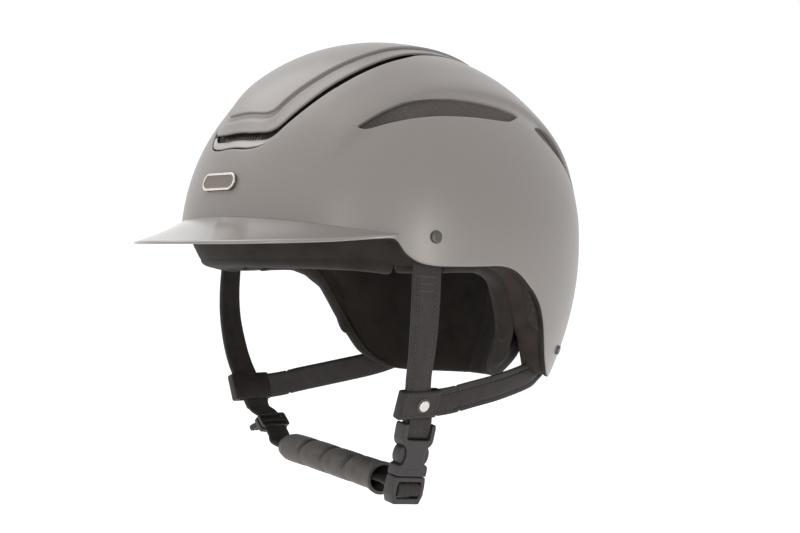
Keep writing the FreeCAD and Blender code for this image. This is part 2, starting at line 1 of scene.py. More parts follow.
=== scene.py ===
import math
import bpy
import numpy as np
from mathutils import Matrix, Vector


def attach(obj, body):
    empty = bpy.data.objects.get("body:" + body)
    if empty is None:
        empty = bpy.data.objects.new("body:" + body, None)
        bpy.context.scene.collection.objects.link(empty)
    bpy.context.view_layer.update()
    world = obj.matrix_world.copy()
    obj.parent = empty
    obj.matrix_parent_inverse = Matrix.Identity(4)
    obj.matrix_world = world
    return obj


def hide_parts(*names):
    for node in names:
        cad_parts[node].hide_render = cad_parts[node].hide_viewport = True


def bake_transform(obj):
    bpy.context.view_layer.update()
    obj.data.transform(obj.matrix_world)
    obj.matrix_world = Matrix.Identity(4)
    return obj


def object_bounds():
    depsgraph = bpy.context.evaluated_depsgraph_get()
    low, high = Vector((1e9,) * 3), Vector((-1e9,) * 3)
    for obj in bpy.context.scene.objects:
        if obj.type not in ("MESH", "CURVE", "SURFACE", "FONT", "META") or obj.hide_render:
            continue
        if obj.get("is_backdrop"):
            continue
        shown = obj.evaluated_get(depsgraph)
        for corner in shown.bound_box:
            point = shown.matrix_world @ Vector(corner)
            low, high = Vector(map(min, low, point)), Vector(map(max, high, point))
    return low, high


# The helmet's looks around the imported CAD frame. Shapes are worked out in millimetres in the CAD's own
# frame (+Z up, peak along -Y, wearer's left +X) and written to meshes in metres.

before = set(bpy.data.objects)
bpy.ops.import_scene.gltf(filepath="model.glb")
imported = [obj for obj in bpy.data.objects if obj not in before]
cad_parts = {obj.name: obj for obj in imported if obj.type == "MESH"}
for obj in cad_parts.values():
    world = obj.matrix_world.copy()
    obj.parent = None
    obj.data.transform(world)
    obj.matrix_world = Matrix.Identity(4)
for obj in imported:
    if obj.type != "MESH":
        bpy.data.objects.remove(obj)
cad_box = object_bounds()
MM = 0.001

# ---------------------------------------------------------------- the dome that every shell layer follows
FRONT_LENGTH = 121.0
REAR_LENGTH = 140.0
HALF_WIDTH = 111.0
BROW_Z = 11.8
DOME_HEIGHT = 123.6
CROWN_LEAN = 4.45
PLAN_POWER = 2.13
RISE_POWER = 2.09
REAR_TUCK = 2.68e-5
FRONT_TUCK = 1.0e-5
SHELL_WALL = 3.4

# Crown outlines in plan (x, y), one side from front to rear
BAND = [(10, -107.6), (18, -106.6), (23, -105.4), (27.5, -103.5), (31, -100.8), (34.5, -96.6),
        (40.5, -86.8), (45.1, -75.7), (48.4, -63.6), (50.2, -50), (50.5, -35), (48.6, -15), (44, 2),
        (38, 32), (31, 62), (24, 90), (17, 107)]
COVER = [(10, -101.8), (19, -100.7), (24.5, -99.6), (28.5, -98), (32, -95), (35.5, -89), (39.8, -79),
         (43, -66.7), (45.2, -53.5), (45.6, -38.7), (44, -22), (40.2, -3), (36, 18), (30, 52), (22.5, 84),
         (15.5, 104.5)]
PANEL = [(9, -96), (17.5, -95.4), (21.5, -94.2), (24, -92), (25.3, -88.5), (28.5, -80.5), (33, -67),
         (36, -50), (36.7, -32), (33.8, -8), (29, 20), (24, 50), (17.5, 76), (12, 88)]

# Vents in side view (y, z), closed outlines
SIDE_VENT = [(-70, 77.4), (-69, 79.2), (-65.2, 82), (-55.8, 87.4), (-45, 92.2), (-33.5, 95.5), (-21, 97.7),
             (-6.7, 98.6), (8.3, 98), (24.5, 96.3), (37, 94), (45.5, 91.6), (48, 90), (47, 88.4),
             (37, 85.2), (29.6, 84.6), (16.5, 85.2), (0.6, 85.8), (-17.8, 85.6), (-31.2, 84.6),
             (-43.6, 82.8), (-55.4, 80), (-62.7, 77.6), (-67.6, 76.4)]
REAR_VENT = [(61, 81.5), (64, 84), (70, 84.6), (76, 83), (84, 78.5), (93, 70), (101, 59), (107, 48),
             (108, 44), (103, 48), (96, 54.5), (88, 61.5), (80, 67), (73, 71.5), (66, 76)]

# Character line above the vents, side view
RIDGE = [(-96, 52), (-85, 63), (-74, 74), (-55, 87), (-26, 100.5), (5, 103.5), (38, 100.5), (56, 95.5),
         (75, 86), (92, 73.5), (106, 57), (116, 38)]

# Rims in side view: y, height
SHELL_RIM = [(-130, 15), (-75, 15), (-64, 14.8), (-60, 12.8), (-56.5, 7.4), (-53, 4.2), (-48.5, 1.6),
             (-42.5, 0), (-33, -0.7), (-10, -0.8), (5, -0.6), (13, -1.4), (18, -2.8), (23, -5), (28, -8.3),
             (33, -12.2), (38, -16), (42, -19.8), (46, -24.4), (49, -29.3), (52, -35.4), (54, -40.4),
             (57, -48.2), (60, -54.5), (63, -59.2), (67, -63.5), (71, -66.8), (76, -69), (82, -70.4),
             (88, -70.6), (98, -68.2), (106, -64), (114, -58.5), (122, -54.5), (134, -54)]
LINER_RIM = [(-130, -3), (-104, -4.2), (-60, -5.4), (0, -6.2), (9, -7.4), (20, -11), (28, -16.5), (36, -28),
             (45, -43), (52, -56), (58, -65), (66, -71.5), (78, -75), (100, -76.5), (132, -76.5)]
FOAM_RIM = [(-130, 11), (-60, 11), (-40, 5), (10, 3), (25, -5), (36, -18), (46, -36), (60, -46), (150, -46)]
LINER_OUT = [(-130, 12), (-60, 12.5), (0, 10.5), (25, 13.5), (50, 16), (62, 21), (80, 25), (150, 26)]
LINER_IN = [(-130, 37), (-90, 36), (-50, 31), (0, 27), (25, 27), (50, 29), (64, 35), (84, 40), (150, 41)]

# Peak: root on the shell (x, z), edge (x, y, z), middle to side
PEAK_ROOT = [(0, 28), (24, 27.3), (45, 26), (61.5, 24.3), (75, 22), (87, 19.7), (94.5, 18.3), (98.2, 17.4)]
PEAK_EDGE = [(0, -160, 13.2), (25, -156.5, 13.2), (45, -145.5, 13.2), (60, -134, 13.4), (74, -118, 13.8),
             (86, -97, 14.6), (94, -77.5, 16), (98.8, -61.5, 17)]

# Harness, left side
FRONT_STRAP = [(98.9, -39, 22), (98.9, -39.5, 6), (98.9, -40, -3), (99.2, -41, -20), (98, -41.2, -36),
               (94.8, -40.3, -52), (90.3, -38.8, -66), (85, -35.2, -80), (79.8, -31.6, -93.5)]
FRONT_TURN = [15.6, 15.6, 15.6, 14, 11, 5, 1, 0, 0]
REAR_STRAP = [(84.8, -14, -81), (84.5, 6, -78), (82.5, 31, -74.5), (76.5, 60, -69.5), (71, 74, -65),
              (66.5, 84, -60.5), (64.5, 88, -58.5)]
STRAP_WIDTH = 18.0
STRAP_WALL = 2.4
REAR_WIDTH = 16.0
REAR_WALL = 2.0
BLEND_SPLIT = (84.7, -4.0, -79.6)
KEEPER_MIDDLE = (84.53, -34.84, -81.13)
KEEPER_RUN = (-10.5, 0.0, -27.5)
BUCKLE_TOP = (79.5, -31.4, -94.0)
BUCKLE_AXIS = (-8.0, -4.4, -44.0)
CHIN_PATH = [(-80.6, -31.9, -91.0), (-79.3, -31.4, -94.4), (-77.4, -30.8, -96), (-72, -28.8, -99.7),
             (-61.5, -28.8, -110.3), (-54.5, -29.6, -116), (-20, -30.1, -119.9), (20, -30.6, -124.4),
             (54, -31.05, -128.25)]
GUARD_HALF = 48.0


# ---------------------------------------------------------------- small maths
def arr(values):
    return np.array(values, float)


def unit(v):
    v = arr(v)
    return v / np.maximum(np.linalg.norm(v, axis=-1, keepdims=True), 1e-12)


def smooth_line(points, count, closed=False):
    """A Catmull-Rom curve through the points, sampled evenly by length."""
    p = arr(points)
    if closed:
        p = np.vstack([p[-1], p, p[0], p[1]])
    else:
        p = np.vstack([2 * p[0] - p[1], p, 2 * p[-1] - p[-2]])
    t = np.linspace(0, 1, 17)[:-1, None]
    runs = []
    for a, b, c, d in zip(p, p[1:], p[2:], p[3:]):
        square = (2 * a - 5 * b + 4 * c - d) * t ** 2
        runs.append(0.5 * (2 * b + (c - a) * t + square + (3 * b - a - 3 * c + d) * t ** 3))
    line = np.vstack(runs + [p[-2:-1]])
    steps = np.r_[0, np.cumsum(np.linalg.norm(np.diff(line, axis=0), axis=1))]
    at = np.linspace(0, steps[-1], count + 1 if closed else count)
    if closed:
        at = at[:-1]
    return np.stack([np.interp(at, steps, line[:, k]) for k in range(line.shape[1])], 1)


def lookup(table, at):
    """A table's smooth value at a position, from its (position, value) points."""
    line = smooth_line(table, 400)
    return np.interp(at, line[:, 0], line[:, 1])


def ease(low, high, x):
    t = np.clip((x - low) / (high - low), 0, 1)
    return t * t * (3 - 2 * t)


def outline_distance(outline, pts):
    """Signed distance of 2-D points from a closed outline, positive outside."""
    a = outline
    b = np.roll(outline, -1, 0)
    best = np.full(len(pts), 1e9)
    inside = np.zeros(len(pts), bool)
    for start, end in zip(a, b):
        run = end - start
        rel = pts - start
        t = np.clip(rel @ run / (run @ run), 0, 1)
        best = np.minimum(best, np.linalg.norm(rel - t[:, None] * run, axis=1))
        crosses = (start[1] > pts[:, 1]) != (end[1] > pts[:, 1])
        rise = np.where(abs(end[1] - start[1]) < 1e-12, 1e-12, end[1] - start[1])
        inside ^= crosses & (pts[:, 0] < (end[0] - start[0]) * (pts[:, 1] - start[1]) / rise + start[0])
    return np.where(inside, -best, best)


def plan_outline(side, count=260):
    """A closed plan outline from one side's points."""
    return smooth_line(side + [(-x, y) for x, y in reversed(side)], count, True)


# ---------------------------------------------------------------- dome maths
def dome_field(p, offset=0.0):
    """Below zero inside the dome moved outward by offset."""
    up = np.clip((p[:, 2] - BROW_Z) / (DOME_HEIGHT + offset), 0, 1)
    drop = np.clip(BROW_Z - p[:, 2], 0, None)
    shrink = np.clip(1 - up ** RISE_POWER, 1e-9, None) ** (1 / RISE_POWER)
    y = p[:, 1] - CROWN_LEAN * up
    rear = (REAR_LENGTH + offset) * shrink * (1 - REAR_TUCK * drop ** 2)
    front = (FRONT_LENGTH + offset) * shrink * (1 - FRONT_TUCK * drop ** 2)
    half = (HALF_WIDTH + offset) * shrink * (1 - REAR_TUCK * drop ** 2 / 2)
    length = np.where(y > 0, rear, front)
    above = np.where(p[:, 2] > BROW_Z + DOME_HEIGHT + offset, 10.0, 0.0)
    return (np.abs(p[:, 0] / half) ** PLAN_POWER + np.abs(y / length) ** PLAN_POWER) - 1 + above


def cast(origins, directions, offset=0.0, reach=260.0):
    """Where rays from inside meet the dome."""
    low = np.zeros(len(origins))
    high = np.full(len(origins), reach)
    for _ in range(42):
        middle = (low + high) / 2
        outside = dome_field(origins + directions * middle[:, None], offset) > 0
        high = np.where(outside, middle, high)
        low = np.where(outside, low, middle)
    return origins + directions * ((low + high) / 2)[:, None]


def dome_normal(p):
    grad = np.zeros_like(p)
    for k in range(3):
        step = np.zeros(3)
        step[k] = 0.05
        grad[:, k] = dome_field(p + step) - dome_field(p - step)
    return unit(grad)


def ring_point(angle, z, inset=0.0):
    """A point of the dome's ring at height z, from the rear (0) round by the left (90 degrees)."""
    angle, z, inset = np.broadcast_arrays(arr(angle), arr(z), arr(inset))
    up = np.clip((z - BROW_Z) / (DOME_HEIGHT - inset), 0, 1)
    drop = np.clip(BROW_Z - z, 0, None)
    shrink = np.clip(1 - up ** RISE_POWER, 0, None) ** (1 / RISE_POWER)
    along = np.cos(angle)
    across = np.sin(angle)
    rear = (REAR_LENGTH - inset) * (1 - REAR_TUCK * drop ** 2)
    front = (FRONT_LENGTH - inset) * (1 - FRONT_TUCK * drop ** 2)
    length = np.where(along > 0, rear, front) * shrink
    half = (HALF_WIDTH - inset) * (1 - REAR_TUCK * drop ** 2 / 2) * shrink
    x = half * np.sign(across) * np.abs(across) ** (2 / PLAN_POWER)
    y = length * np.sign(along) * np.abs(along) ** (2 / PLAN_POWER) + CROWN_LEAN * up
    return np.stack([x, y, z], -1)


def plan_y(angle):
    """The y of the dome at brow level for a plan angle."""
    return ring_point(angle, BROW_Z)[..., 1]


def ridge_lift(p):
    """How far the character line above the vents stands out of the dome."""
    line = smooth_line(RIDGE, 240)
    height = np.interp(p[:, 1], line[:, 0], line[:, 1])
    slope = np.gradient(line[:, 1], line[:, 0])
    tilt = np.interp(p[:, 1], line[:, 0], slope)
    side = np.maximum(np.abs(dome_normal(p)[:, 0]), 0.35)
    gap = (p[:, 2] - height) / np.sqrt(1 + tilt ** 2) / side
    over = np.exp(-(np.clip(gap, 0, None) / 13.0) ** 2)
    under = 1 - ease(0, 5.5, -gap)
    ends = ease(-96, -70, p[:, 1]) * (1 - ease(96, 116, p[:, 1]))
    scoop = -0.55 * np.exp(-((gap + 8) / 6.0) ** 2)
    where = (np.abs(p[:, 0]) > 45) & (p[:, 2] > 30)
    return np.where(where, (1.35 * np.where(gap > 0, over, under) + scoop) * ends, 0.0)


def at_brow(rim):
    """A rim table with each y moved out to the dome's brow, where plan angles are read."""
    return [(y / (1 - REAR_TUCK * max(0.0, BROW_Z - z) ** 2), z) if y > 0 else (y, z) for y, z in rim]


SHELL_RIM = at_brow(SHELL_RIM) + [(150, -54)]
LINER_RIM = at_brow(LINER_RIM)


# ---------------------------------------------------------------- mesh making
def new_object(name, points, faces, smooth_angle=38.0):
    """A smooth-shaded mesh object from points in millimetres."""
    mesh = bpy.data.meshes.new(name)
    mesh.from_pydata((arr(points) * MM).tolist(), [], [list(dict.fromkeys(map(int, f))) for f in faces])
    mesh.validate()
    mesh.shade_smooth()
    mesh.set_sharp_from_angle(angle=math.radians(smooth_angle))
    obj = bpy.data.objects.new(name, mesh)
    bpy.context.scene.collection.objects.link(obj)
    return obj


def grid_faces(rows, columns, wrap=False):
    faces = []
    for i in range(rows - 1):
        for j in range(columns if wrap else columns - 1):
            k = (j + 1) % columns
            faces.append((i * columns + j, i * columns + k, (i + 1) * columns + k, (i + 1) * columns + j))
    return np.array(faces)


def join_parts(parts):
    """One list of points and faces from several."""
    points = []
    faces = []
    total = 0
    for part_points, part_faces in parts:
        points.append(arr(part_points))
        faces += [[index + total for index in face] for face in part_faces]
        total += len(part_points)
    return np.vstack(points), faces


def carve(points, faces, distance):
    """Snap the mesh on to the line where distance is zero and drop the faces below it."""
    points = points.copy()
    edges = np.vstack([np.stack([faces[:, k], faces[:, (k + 1) % 4]], 1) for k in range(4)])
    edges = np.unique(np.sort(edges, 1), axis=0)
    d = distance(points)
    crossing = edges[(d[edges[:, 0]] > 0) != (d[edges[:, 1]] > 0)]
    near = np.where(np.abs(d[crossing[:, 0]]) < np.abs(d[crossing[:, 1]]), 0, 1)
    own = crossing[np.arange(len(crossing)), near]
    far = crossing[np.arange(len(crossing)), 1 - near]
    share = np.abs(d[own]) / (np.abs(d[own]) + np.abs(d[far]) + 1e-12)
    order = np.argsort(-share)
    target = points[own] + (points[far] - points[own]) * share[:, None]
    points[own[order]] = target[order]
    d[own] = 0
    corner = d[faces]
    faces = faces[corner.max(1) > 1e-9].copy()
    corner = d[faces]
    below = corner < -1e-9
    shifted = np.roll(faces, -1, 1)
    faces = np.where(below & (below.sum(1) == 1)[:, None], shifted, faces)
    return points, faces[d[faces].min(1) > -1e-9]


def compact(points, faces):
    used, inverse = np.unique(faces, return_inverse=True)
    return points[used], inverse.reshape(faces.shape)


def vertex_normals(points, faces):
    a, b, c, d = (points[faces[:, k]] for k in range(4))
    face_normal = np.cross(c - a, d - b)
    total = np.zeros_like(points)
    for k in range(4):
        np.add.at(total, faces[:, k], face_normal)
    return unit(total)


def thicken(points, faces, wall, radius, steps=4):
    """A closed sheet: the outer face, rounded edges, side walls and the inner face."""
    points, faces = compact(points, faces)
    normal = vertex_normals(points, faces)
    directed = np.vstack([np.stack([faces[:, k], faces[:, (k + 1) % 4]], 1) for k in range(4)])
    directed = directed[directed[:, 0] != directed[:, 1]]
    key = directed[:, 0].astype(np.int64) * len(points) + directed[:, 1]
    back = directed[:, 1].astype(np.int64) * len(points) + directed[:, 0]
    rim = directed[~np.isin(key, back)]
    out = np.zeros_like(points)
    side = np.cross(points[rim[:, 1]] - points[rim[:, 0]], normal[rim[:, 0]])
    for _ in range(6):
        np.add.at(out, rim[:, 0], side)
        np.add.at(out, rim[:, 1], side)
        side = side * 0.2 + unit(out[rim[:, 0]] + out[rim[:, 1]]) * 0.8
        side *= np.linalg.norm(points[rim[:, 1]] - points[rim[:, 0]], axis=1)[:, None]
    rim_points = np.unique(rim)
    place = np.full(len(points), -1)
    place[rim_points] = np.arange(len(rim_points))
    base = points[rim_points]
    push = unit(out[rim_points])
    push = unit(push - normal[rim_points] * (push * normal[rim_points]).sum(1)[:, None])
    inner_all = points - normal * wall
    count = len(points)
    stack = [points, inner_all]
    start = 2 * count
    previous = rim_points
    all_faces = [faces, faces[:, ::-1] + count]
    depths = [(math.sin(k / steps * math.pi / 2), 1 - math.cos(k / steps * math.pi / 2)) for k in range(1, steps + 1)]
    levels = [(radius * s, radius * c) for s, c in depths] + [(radius, wall - radius * 0.6)]
    for outward, down in levels:
        stack.append(base + push * outward - normal[rim_points] * down)
        current = start + np.arange(len(rim_points))
        a = previous[place[rim[:, 0]]]
        b = previous[place[rim[:, 1]]]
        all_faces.append(np.stack([b, a, current[place[rim[:, 0]]], current[place[rim[:, 1]]]], 1))
        previous = current
        start += len(rim_points)
    last = rim_points + count
    a = previous[place[rim[:, 0]]]
    b = previous[place[rim[:, 1]]]
    all_faces.append(np.stack([b, a, last[place[rim[:, 0]]], last[place[rim[:, 1]]]], 1))
    return np.vstack(stack), np.vstack(all_faces)


def tube(loops, closed_path=False, caps=True):
    """A body from a stack of closed loops of equal length."""
    loops = arr(loops)
    rows, columns = loops.shape[:2]
    points = loops.reshape(-1, 3)
    faces = grid_faces(rows, columns, True).tolist()
    if closed_path:
        last = (rows - 1) * columns
        for j in range(columns):
            k = (j + 1) % columns
            faces.append([last + j, last + k, k, j])
    elif caps:
        faces.append(list(range(columns))[::-1])
        faces.append(list(range((rows - 1) * columns, rows * columns)))
    return points, faces


def frames_along(path, across):
    """Tangent, width and outward directions along a path."""
    run = unit(np.gradient(path, axis=0))
    wide = across - run * (run * across).sum(1)[:, None]
    wide = unit(wide)
    return run, wide, np.cross(run, wide)


def turned(degrees):
    a = np.radians(degrees)
    return np.stack([np.sin(a), np.cos(a), np.zeros_like(a)], -1)


def sweep(path, across, section):
    """A flat section of (across, out) points swept along a path, its ends slightly rounded."""
    _, wide, out = frames_along(path, across)
    loops = []
    for index in range(len(path)):
        from_end = min(index, len(path) - 1 - index)
        scale = (0.9, 1.0)[min(from_end, 1)]
        loops.append(path[index] + scale * (section[:, :1] * wide[index] + section[:, 1:] * out[index]))
    return tube(loops)


def round_section(radius, count):
    return arr([(math.cos(a) * radius, math.sin(a) * radius) for a in np.linspace(0, 2 * np.pi, count, endpoint=False)])


def capsule(start, end, across, out, width, height):
    """A stitch: a short rounded thread from start to end."""
    rings = []
    for share, size in ((0, 0.35), (0.14, 0.85), (0.5, 1.0), (0.86, 0.85), (1, 0.35)):
        middle = arr(start) + (arr(end) - arr(start)) * share
        ring = []
        for k in range(6):
            a = k * math.pi / 3
            ring.append(middle + size * (math.cos(a) * width / 2 * across + math.sin(a) * height / 2 * out))
        rings.append(ring)
    return tube(rings)


def stitch_row(path, wide, out, offset, height, pitch=3.0, length=2.1, width=0.55):
    """Stitches along a path at a sideways offset, lying at a height above it."""
    steps = np.r_[0, np.cumsum(np.linalg.norm(np.diff(path, axis=0), axis=1))]
    parts = []
    at = 1.5
    while at + length < steps[-1] - 1:
        ends = []
        for s in (at, at + length):
            p = arr([np.interp(s, steps, path[:, k]) for k in range(3)])
            w = unit([np.interp(s, steps, wide[:, k]) for k in range(3)])
            o = unit([np.interp(s, steps, out[:, k]) for k in range(3)])
            ends.append(p + w * offset + o * height)
        parts.append(capsule(ends[0], ends[1], w, o, width, 0.4))
        at += pitch
    return parts


def mirrored(part):
    points, faces = part
    flipped = arr(points) * arr([-1, 1, 1])
    return flipped, [list(face)[::-1] for face in faces]


def plate(name, outlines, half, bevel, to_world, resolution=3):
    """A flat moulded plate: closed 2-D outlines (the first outside, the rest holes), rounded edges."""
    curve = bpy.data.curves.new(name, "CURVE")
    curve.dimensions = "2D"
    curve.fill_mode = "BOTH"
    curve.extrude = (half - bevel) * MM
    curve.bevel_depth = bevel * MM
    curve.bevel_resolution = resolution
    curve.offset = -bevel * MM
    for outline in outlines:
        spline = curve.splines.new("POLY")
        spline.points.add(len(outline) - 1)
        for point, (a, b) in zip(spline.points, outline):
            point.co = (a * MM, b * MM, 0, 1)
        spline.use_cyclic_u = True
    holder = bpy.data.objects.new(name + "_curve", curve)
    bpy.context.scene.collection.objects.link(holder)
    bpy.context.view_layer.update()
    mesh = bpy.data.meshes.new_from_object(holder.evaluated_get(bpy.context.evaluated_depsgraph_get()))
    bpy.data.objects.remove(holder)
    points = arr([v.co for v in mesh.vertices]) / MM
    faces = [list(p.vertices) for p in mesh.polygons]
    bpy.data.meshes.remove(mesh)
    return to_world(points), faces


def rounded(outline, radius, steps=5):
    """Round the corners of a 2-D outline."""
    p = arr(outline)
    result = []
    for before, at, after in zip(np.roll(p, 1, 0), p, np.roll(p, -1, 0)):
        reach = min(radius, np.linalg.norm(before - at) * 0.48, np.linalg.norm(after - at) * 0.48)
        a = at + unit(before - at) * reach
        b = at + unit(after - at) * reach
        for t in np.linspace(0, 1, steps):
            result.append((1 - t) ** 2 * a + 2 * t * (1 - t) * at + t * t * b)
    return arr(result)


def finish_piece(obj, body, material, nodes=()):
    obj.data.materials.clear()
    obj.data.materials.append(material)
    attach(obj, body)
    if nodes:
        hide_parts(*nodes)
    return obj


# ---------------------------------------------------------------- materials
def shader(name, color, roughness, metallic=0.0, coat=0.0, coat_roughness=0.2, sheen=0.0, specular=0.5):
    material = bpy.data.materials.new(name)
    material.use_nodes = True
    tree = material.node_tree
    surface = tree.nodes["Principled BSDF"]
    surface.inputs["Base Color"].default_value = (*color, 1)
    surface.inputs["Roughness"].default_value = roughness
    surface.inputs["Metallic"].default_value = metallic
    surface.inputs["Coat Weight"].default_value = coat
    surface.inputs["Coat Roughness"].default_value = coat_roughness
    surface.inputs["Sheen Weight"].default_value = sheen
    surface.inputs["Specular IOR Level"].default_value = specular
    return material, tree, surface


def texture(tree, kind, scale, **settings):
    """A texture node in object coordinates, in features per metre."""
    coordinates = tree.nodes.new("ShaderNodeTexCoord")
    node = tree.nodes.new(kind)
    tree.links.new(coordinates.outputs["Object"], node.inputs["Vector"])
    node.inputs["Scale"].default_value = scale
    for key, value in settings.items():
        if key in node.inputs:
            node.inputs[key].default_value = value
        else:
            setattr(node, key, value)
    return node


def ramp(tree, source, low, high, position_low=0.3, position_high=0.7):
    node = tree.nodes.new("ShaderNodeValToRGB")
    node.color_ramp.elements[0].position = position_low
    node.color_ramp.elements[1].position = position_high
    node.color_ramp.elements[0].color = (*low, 1)
    node.color_ramp.elements[1].color = (*high, 1)
    tree.links.new(source, node.inputs["Fac"])
    return node.outputs["Color"]


def spread(tree, source, low, high):
    """Map a texture's value to a range."""
    node = tree.nodes.new("ShaderNodeMapRange")
    node.inputs["To Min"].default_value = low
    node.inputs["To Max"].default_value = high
    tree.links.new(source, node.inputs["Value"])
    return node.outputs["Result"]


def bump(tree, surface, height, strength, distance, under=None):
    node = tree.nodes.new("ShaderNodeBump")
    node.inputs["Strength"].default_value = strength
    node.inputs["Distance"].default_value = distance
    tree.links.new(height, node.inputs["Height"])
    if under is not None:
        tree.links.new(under, node.inputs["Normal"])
    tree.links.new(node.outputs["Normal"], surface.inputs["Normal"])
    return node.outputs["Normal"]


def make_lacquer(name, color, roughness, coat=0.05):
    """Satin lacquer with fine metallic flake under a soft clear coat."""
    material, tree, surface = shader(name, color, roughness, metallic=0.18, coat=coat, coat_roughness=roughness * 0.7,
                                     specular=0.4)
    flake = texture(tree, "ShaderNodeTexNoise", 5200, Detail=2.0)
    tone = ramp(tree, flake.outputs["Fac"], [c * 0.93 for c in color], [c * 1.07 for c in color], 0.35, 0.65)
    tree.links.new(tone, surface.inputs["Base Color"])
    haze = texture(tree, "ShaderNodeTexNoise", 26, Detail=4.0)
    tree.links.new(spread(tree, haze.outputs["Fac"], roughness - 0.03, roughness + 0.03), surface.inputs["Roughness"])
    bump(tree, surface, flake.outputs["Fac"], 0.05, 0.00004)
    return material


def make_leather(name, color, scale=1500.0, strength=0.35):
    """Synthetic leather: fine pebbled grain, wear in the colour, uneven gloss."""
    material, tree, surface = shader(name, color, 0.5, specular=0.3)
    grain = texture(tree, "ShaderNodeTexVoronoi", scale)
    wear = texture(tree, "ShaderNodeTexNoise", 160, Detail=6.0)
    tone = ramp(tree, wear.outputs["Fac"], [c * 0.8 for c in color], [c * 1.3 for c in color])
    tree.links.new(tone, surface.inputs["Base Color"])
    tree.links.new(spread(tree, wear.outputs["Fac"], 0.42, 0.6), surface.inputs["Roughness"])
    bump(tree, surface, grain.outputs["Distance"], strength, 0.00025)
    return material


def make_knit(name, color):
    """Wicking knit: rows of small loops, with fuzz."""
    material, tree, surface = shader(name, color, 0.85, sheen=0.04, specular=0.12)
    rows = texture(tree, "ShaderNodeTexWave", 260, bands_direction="Z", Distortion=0.6)
    loops = texture(tree, "ShaderNodeTexVoronoi", 900)
    cloud = texture(tree, "ShaderNodeTexNoise", 60, Detail=5.0)
    tone = ramp(tree, cloud.outputs["Fac"], [c * 0.8 for c in color], [c * 1.25 for c in color])
    tree.links.new(tone, surface.inputs["Base Color"])
    under = bump(tree, surface, rows.outputs["Fac"], 0.25, 0.0002)
    bump(tree, surface, loops.outputs["Distance"], 0.4, 0.0003, under)
    return material


def make_webbing(name, color):
    """Woven webbing: a fine diagonal weave."""
    material, tree, surface = shader(name, color, 0.7, sheen=0.05, specular=0.25)
    weave = texture(tree, "ShaderNodeTexWave", 420, bands_direction="DIAGONAL", Distortion=1.0)
    tone = ramp(tree, weave.outputs["Fac"], [c * 0.75 for c in color], [c * 1.25 for c in color])
    tree.links.new(tone, surface.inputs["Base Color"])
    bump(tree, surface, weave.outputs["Fac"], 0.5, 0.0002)
    return material


def make_plastic(name, color, roughness=0.42):
    """Moulded plastic with a faint spark-eroded grain."""
    material, tree, surface = shader(name, color, roughness, specular=0.5)
    grain = texture(tree, "ShaderNodeTexNoise", 1800, Detail=3.0)
    tree.links.new(spread(tree, grain.outputs["Fac"], roughness - 0.06, roughness + 0.08), surface.inputs["Roughness"])
    tone = ramp(tree, grain.outputs["Fac"], [c * 0.85 for c in color], [c * 1.15 for c in color])
    tree.links.new(tone, surface.inputs["Base Color"])
    bump(tree, surface, grain.outputs["Fac"], 0.12, 0.0001)
    return material


def make_metal(name, color, roughness, scratch=0.06):
    """Plated metal with light handling marks."""
    material, tree, surface = shader(name, color, roughness, metallic=0.9)
    marks = texture(tree, "ShaderNodeTexNoise", 700, Detail=5.0)
    gloss = spread(tree, marks.outputs["Fac"], roughness - scratch, roughness + scratch)
    tree.links.new(gloss, surface.inputs["Roughness"])
    tone = ramp(tree, marks.outputs["Fac"], [c * 0.9 for c in color], [c * 1.1 for c in color])
    tree.links.new(tone, surface.inputs["Base Color"])
    bump(tree, surface, marks.outputs["Fac"], 0.05, 0.00005)
    return material


def make_foam(name, color):
    """Moulded bead foam."""
    material, tree, surface = shader(name, color, 0.75, specular=0.3)
    beads = texture(tree, "ShaderNodeTexVoronoi", 380)
    tone = ramp(tree, beads.outputs["Distance"], [c * 1.2 for c in color], [c * 0.7 for c in color])
    tree.links.new(tone, surface.inputs["Base Color"])
    bump(tree, surface, beads.outputs["Distance"], 0.4, 0.0005)
    return material


LACQUER = make_lacquer("shell_lacquer", (0.226, 0.206, 0.193), 0.36)
PEAK_LACQUER = make_lacquer("peak_lacquer", (0.226, 0.206, 0.193), 0.24, 0.7)
# The intake trim is the shell's lacquer painted lighter: painted light on its upward-facing ramp.
TRIM_PAINTED_LIGHT = make_lacquer("trim_lacquer_painted_light", (0.31, 0.282, 0.262), 0.36)
# Near-black for the intake tray and the pockets behind the vents: painted shade under the crown cover and inside the
# vents.
DARK_PAINTED_SHADE = make_plastic("crown_dark", (0.022, 0.02, 0.018), 0.5)
MESH = make_metal("vent_mesh", (0.2, 0.178, 0.166), 0.34)
BADGE_LIGHT = make_metal("badge_metal", (0.72, 0.67, 0.62), 0.2)
BADGE_DARK = make_metal("badge_dark", (0.20, 0.17, 0.15), 0.35)
LEATHER = make_leather("strap_leather", (0.0205, 0.0166, 0.0150))
GUARD = make_leather("guard_leather", (0.068, 0.060, 0.055), 900, 0.25)
THREAD = make_webbing("thread", (0.075, 0.067, 0.062))
WEBBING = make_webbing("webbing", (0.026, 0.0222, 0.020))
PLASTIC = make_plastic("buckle_plastic", (0.0195, 0.0165, 0.0158))
KNIT = make_knit("liner_fabric", (0.024, 0.0198, 0.0172))
LINING = make_knit("lining_brown", (0.029, 0.0215, 0.019))
DARK_METAL = make_metal("dark_metal", (0.12, 0.11, 0.10), 0.36)
STUD_METAL = make_metal("stud_metal", (0.62, 0.6, 0.58), 0.16)
STEEL = make_metal("steel", (0.5, 0.5, 0.5), 0.3)
FOAM = make_foam("foam", (0.03, 0.024, 0.02))


# ---------------------------------------------------------------- shell
SHELL_COLUMNS = 420
SHELL_ROWS = 118
QUARTER_ARC = 196.0
TOP_DEGREES = 80.0


